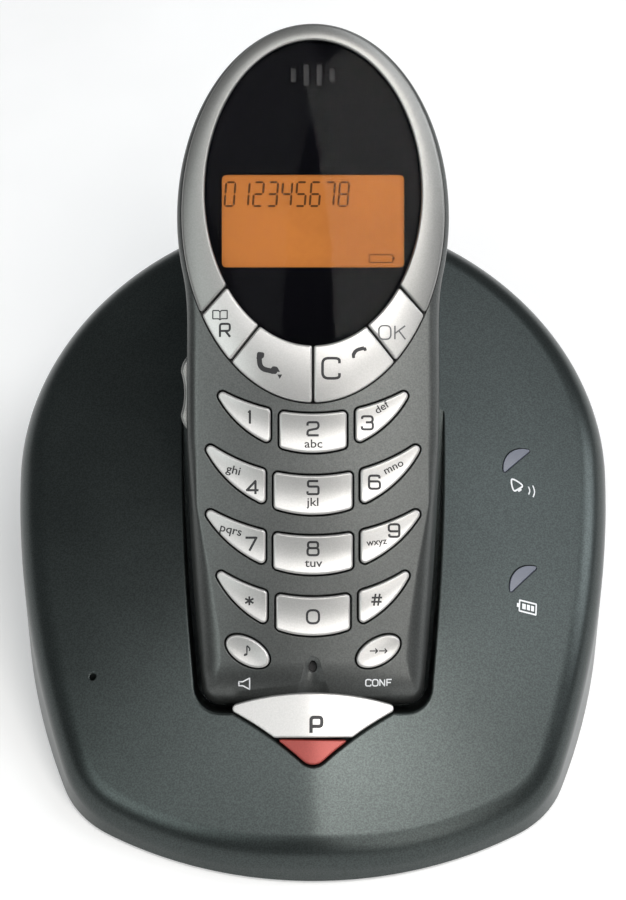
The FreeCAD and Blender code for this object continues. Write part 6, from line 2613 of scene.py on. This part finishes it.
@dataclass
class Signs:
    """Printed signs of the keys, the casing, the base and the display."""

    keypad: Keypad = field(default_factory=Keypad)
    handset: Handset = field(default_factory=Handset)
    base: BaseForm = BaseForm()

    def key_levels(self) -> dict[str, Height]:
        """Top surface of every key.

        Returns:
            The surfaces by the keys' names.
        """
        found = {name: level for name, (_, level) in self.keypad.small_outlines().items()}
        for name in ("key_talk", "key_clear", "key_phonebook", "key_ok"):
            found[name] = self.keypad.head.ring
        return found

    def build(self) -> None:
        """Every sign as a thin piece on its surface."""
        for name, level in self.key_levels().items():
            skin = self.printed(Drawn.HANDSET, level, KEY_PRINTS[name])
            ink = GREY_INK if name == "key_ok" else DARK_INK
            finished(skin.mesh(f"{name}_sign"), ink, name)
        skin = self.printed(Drawn.HANDSET, self.handset.face, CASING_PRINTS, 0.06)
        finished(skin.mesh("casing_signs"), WHITE_INK, "handset")
        skin = self.printed(Drawn.HANDSET, self.base.paging_level, PAGING_PRINTS)
        finished(skin.mesh("paging_sign"), DARK_INK, "paging_key")
        skin = self.printed(Drawn.BASE, self.base.top, BASE_PRINTS, 0.05)
        finished(skin.mesh("base_signs"), WHITE_INK, "base")
        self.readout()

    @staticmethod
    def printed(drawn: Drawn, level: Height, prints: Sequence[Print], lift: float = 0.03) -> Skin:
        """A surface with the given signs on it, a little above the level.

        Args:
            drawn: frame of the prints.
            level: the printed surface.
            prints: the prints.
            lift: how far the ink stands above the level.

        Returns:
            The surface.
        """
        skin = Skin(drawn)
        ink = Ink(skin, level, lift, 0.1)
        for item in prints:
            ink.put(item)
        return skin

    def readout(self) -> None:
        """Figures and battery sign on the display."""
        skin = Skin(Drawn.HANDSET)
        ink = Ink(skin, level_at(self.handset.head.display_front))
        for outline in Readout().outlines():
            ink.blot(outline)
        ink.put(Print("cell", (12.6, 82.4), 1.6, 0.2))
        finished(skin.mesh("display_figures"), DISPLAY_INK, "handset")


@dataclass
class Studio:
    """Floor, lights and camera."""

    distance: float = 0.6
    elevation: float = math.radians(46.0)
    dip: float = math.radians(1.527)
    lens: float = 130.56
    face_point: tuple[float, float, float] = (0.0, 0.00675, 0.065)
    aim_height: float = 0.05
    sky: tuple[float, ...] = (0.9, 0.95, 1.0, 1.0)
    sky_strength: float = 0.12
    floor_half: float = 15.0
    floor_glow: tuple[float, float] = (0.3, 0.7)
    glow_from: tuple[float, float] = (0.25, 1.5)

    def camera(self) -> None:
        """Camera at the photograph's angle, a little over half a metre from the face."""
        look = Vector((0.0, math.cos(self.elevation), -math.sin(self.elevation)))
        made = bpy.data.cameras.new("camera")
        made.lens = self.lens
        made.sensor_width = 36.0
        made.clip_start = 0.01
        camera = in_scene("camera", made)
        camera.location = Vector(self.face_point) - self.distance * look
        dipped = self.elevation + self.dip
        aim = Vector((0.0, math.cos(dipped), -math.sin(dipped)))
        camera.rotation_euler = aim.to_track_quat("-Z", "Y").to_euler()
        bpy.context.scene.camera = camera

    def lamp(
        self,
        name: str,
        azimuth: float,
        elevation: float,
        size: tuple[float, float],
        power: float,
        colour: tuple[float, float, float] = (1.0, 1.0, 1.0),
        distance: float = 0.9,
    ) -> None:
        """Soft box that faces the phone.

        Args:
            name: name of the lamp.
            azimuth: where it stands, in degrees; 0 is in front and 90 to the right.
            elevation: its height angle in degrees.
            size: its width and height in metres.
            power: its power in watts.
            colour: its colour.
            distance: how far it is from the phone in metres.
        """
        data = bpy.data.lights.new(name, "AREA")
        data.shape = "RECTANGLE"
        data.size, data.size_y = size
        data.energy = power
        data.color = colour
        a, e = math.radians(azimuth), math.radians(elevation)
        way = Vector((math.sin(a) * math.cos(e), -math.cos(a) * math.cos(e), math.sin(e)))
        lamp = in_scene(name, data)
        lamp.location = way * distance + Vector((0.0, 0.0, self.aim_height))
        lamp.rotation_euler = (-way).to_track_quat("-Z", "Y").to_euler()

    def world(self) -> None:
        """Even pale surroundings."""
        made = bpy.data.worlds.new("surroundings")
        made.use_nodes = True
        tree = made.node_tree
        wire(tree, tree.nodes["Background"], {"Color": self.sky, "Strength": self.sky_strength})
        bpy.context.scene.world = made

    def floor_material(self) -> bpy.types.Material:
        """Pale finish that the camera, a mirror and a lens see lighter, most of all far away.

        Returns:
            The material.
        """
        made = FLOOR_FINISH.material()
        tree = made.node_tree
        path = added(tree, "LightPath", {}).outputs
        seen = path["Is Camera Ray"]
        for name in ("Is Glossy Ray", "Is Transmission Ray"):
            seen = added(tree, "Math", {0: seen, 1: path[name]}, operation="MAXIMUM").outputs[0]
        place = added(tree, "TexCoord", {}).outputs["Object"]
        away = added(tree, "VectorMath", {0: place}, operation="LENGTH").outputs["Value"]
        (near, far), (low, high) = self.glow_from, self.floor_glow
        inputs = {"From Min": near, "From Max": far, "To Min": low, "To Max": high, "Value": away}
        glow = added(tree, "MapRange", inputs).outputs[0]
        share = added(tree, "Math", {0: seen, 1: glow}, operation="MULTIPLY").outputs[0]
        white = {"Emission Color": (1.0, 1.0, 1.0, 1.0), "Emission Strength": share}
        wire(tree, tree.nodes["Principled BSDF"], white)
        return made

    def floor(self) -> None:
        """Pale floor, white to the camera where no shadow falls."""
        mesh = bpy.data.meshes.new("floor")
        corners = raised(box((0.0, 0.0), (self.floor_half, self.floor_half)), 0.0)
        mesh.from_pydata(corners.tolist(), [], [(0, 1, 2, 3)])
        mesh.materials.append(self.floor_material())
        floor = in_scene("floor", mesh)

    def build(self) -> None:
        """The whole studio."""
        self.camera()
        self.world()
        self.floor()
        warm, cool = (1.0, 0.97, 0.94), (0.94, 0.97, 1.0)
        self.lamp("key_light", 25.0, 60.0, (0.34, 0.34), 3.4, warm)
        self.lamp("front_strip", 27.0, 24.0, (0.3, 0.5), 1.6, warm)
        self.lamp("right_light", 60.0, 50.0, (0.38, 0.38), 0.6)
        self.lamp("side_light", 85.0, 55.0, (0.38, 0.38), 0.9, cool)
        self.lamp("low_light", 100.0, 25.0, (0.4, 0.4), 2.4, cool)
        self.lamp("rear_side_light", 128.0, 58.0, (0.5, 0.5), 1.2, cool)
        self.lamp("left_high_light", -30.0, 62.0, (0.38, 0.38), 1.2)
        self.lamp("left_light", -45.0, 33.0, (0.4, 0.4), 1.5, (0.93, 1.0, 0.98))


def rounded_copy(name: str, finish: Finish, body: str) -> None:
    """Put a smoothly shaded copy of a CAD node in its place.

    Args:
        name: name of the node.
        finish: its finish.
        body: the CAD body that it rides on.
    """
    work = bmesh.new()
    work.from_mesh(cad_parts[name].data)
    bmesh.ops.remove_doubles(work, verts=work.verts, dist=MERGE * MM)
    bmesh.ops.dissolve_degenerate(work, edges=work.edges, dist=MERGE * MM)
    mesh = bpy.data.meshes.new(f"{name}_body")
    work.to_mesh(mesh)
    work.free()
    mesh.polygons.foreach_set("use_smooth", np.ones(len(mesh.polygons), bool))
    mesh.set_sharp_from_angle(angle=SHARP_EDGE)
    piece = finished(mesh, finish, body, [name])
    weighted = piece.modifiers.new("even_shading", "WEIGHTED_NORMAL")
    weighted.mode = "FACE_AREA"
    weighted.weight = 100
    weighted.keep_sharp = True


def dress_nodes() -> None:
    """Give every CAD node without a class of its own its finish.

    One with a body is seen from outside and gets a smoothly shaded copy.
    """
    for name, (finish, slot, body) in NODE_LOOKS.items():
        if body:
            rounded_copy(name, finish, body)
            continue
        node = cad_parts[name]
        node.data.materials.clear()
        node.data.materials.append(finish.material())


def main() -> None:
    """Build the phone and its studio."""
    logging.basicConfig(level=logging.INFO, format="%(message)s")
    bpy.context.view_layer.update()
    bpy.context.scene.view_settings.view_transform = "Standard"
    dress_nodes()
    Base().build()
    Handset().build()
    Keypad().build()
    Signs().build()
    Studio().build()


if __name__ == "__main__":
    main()
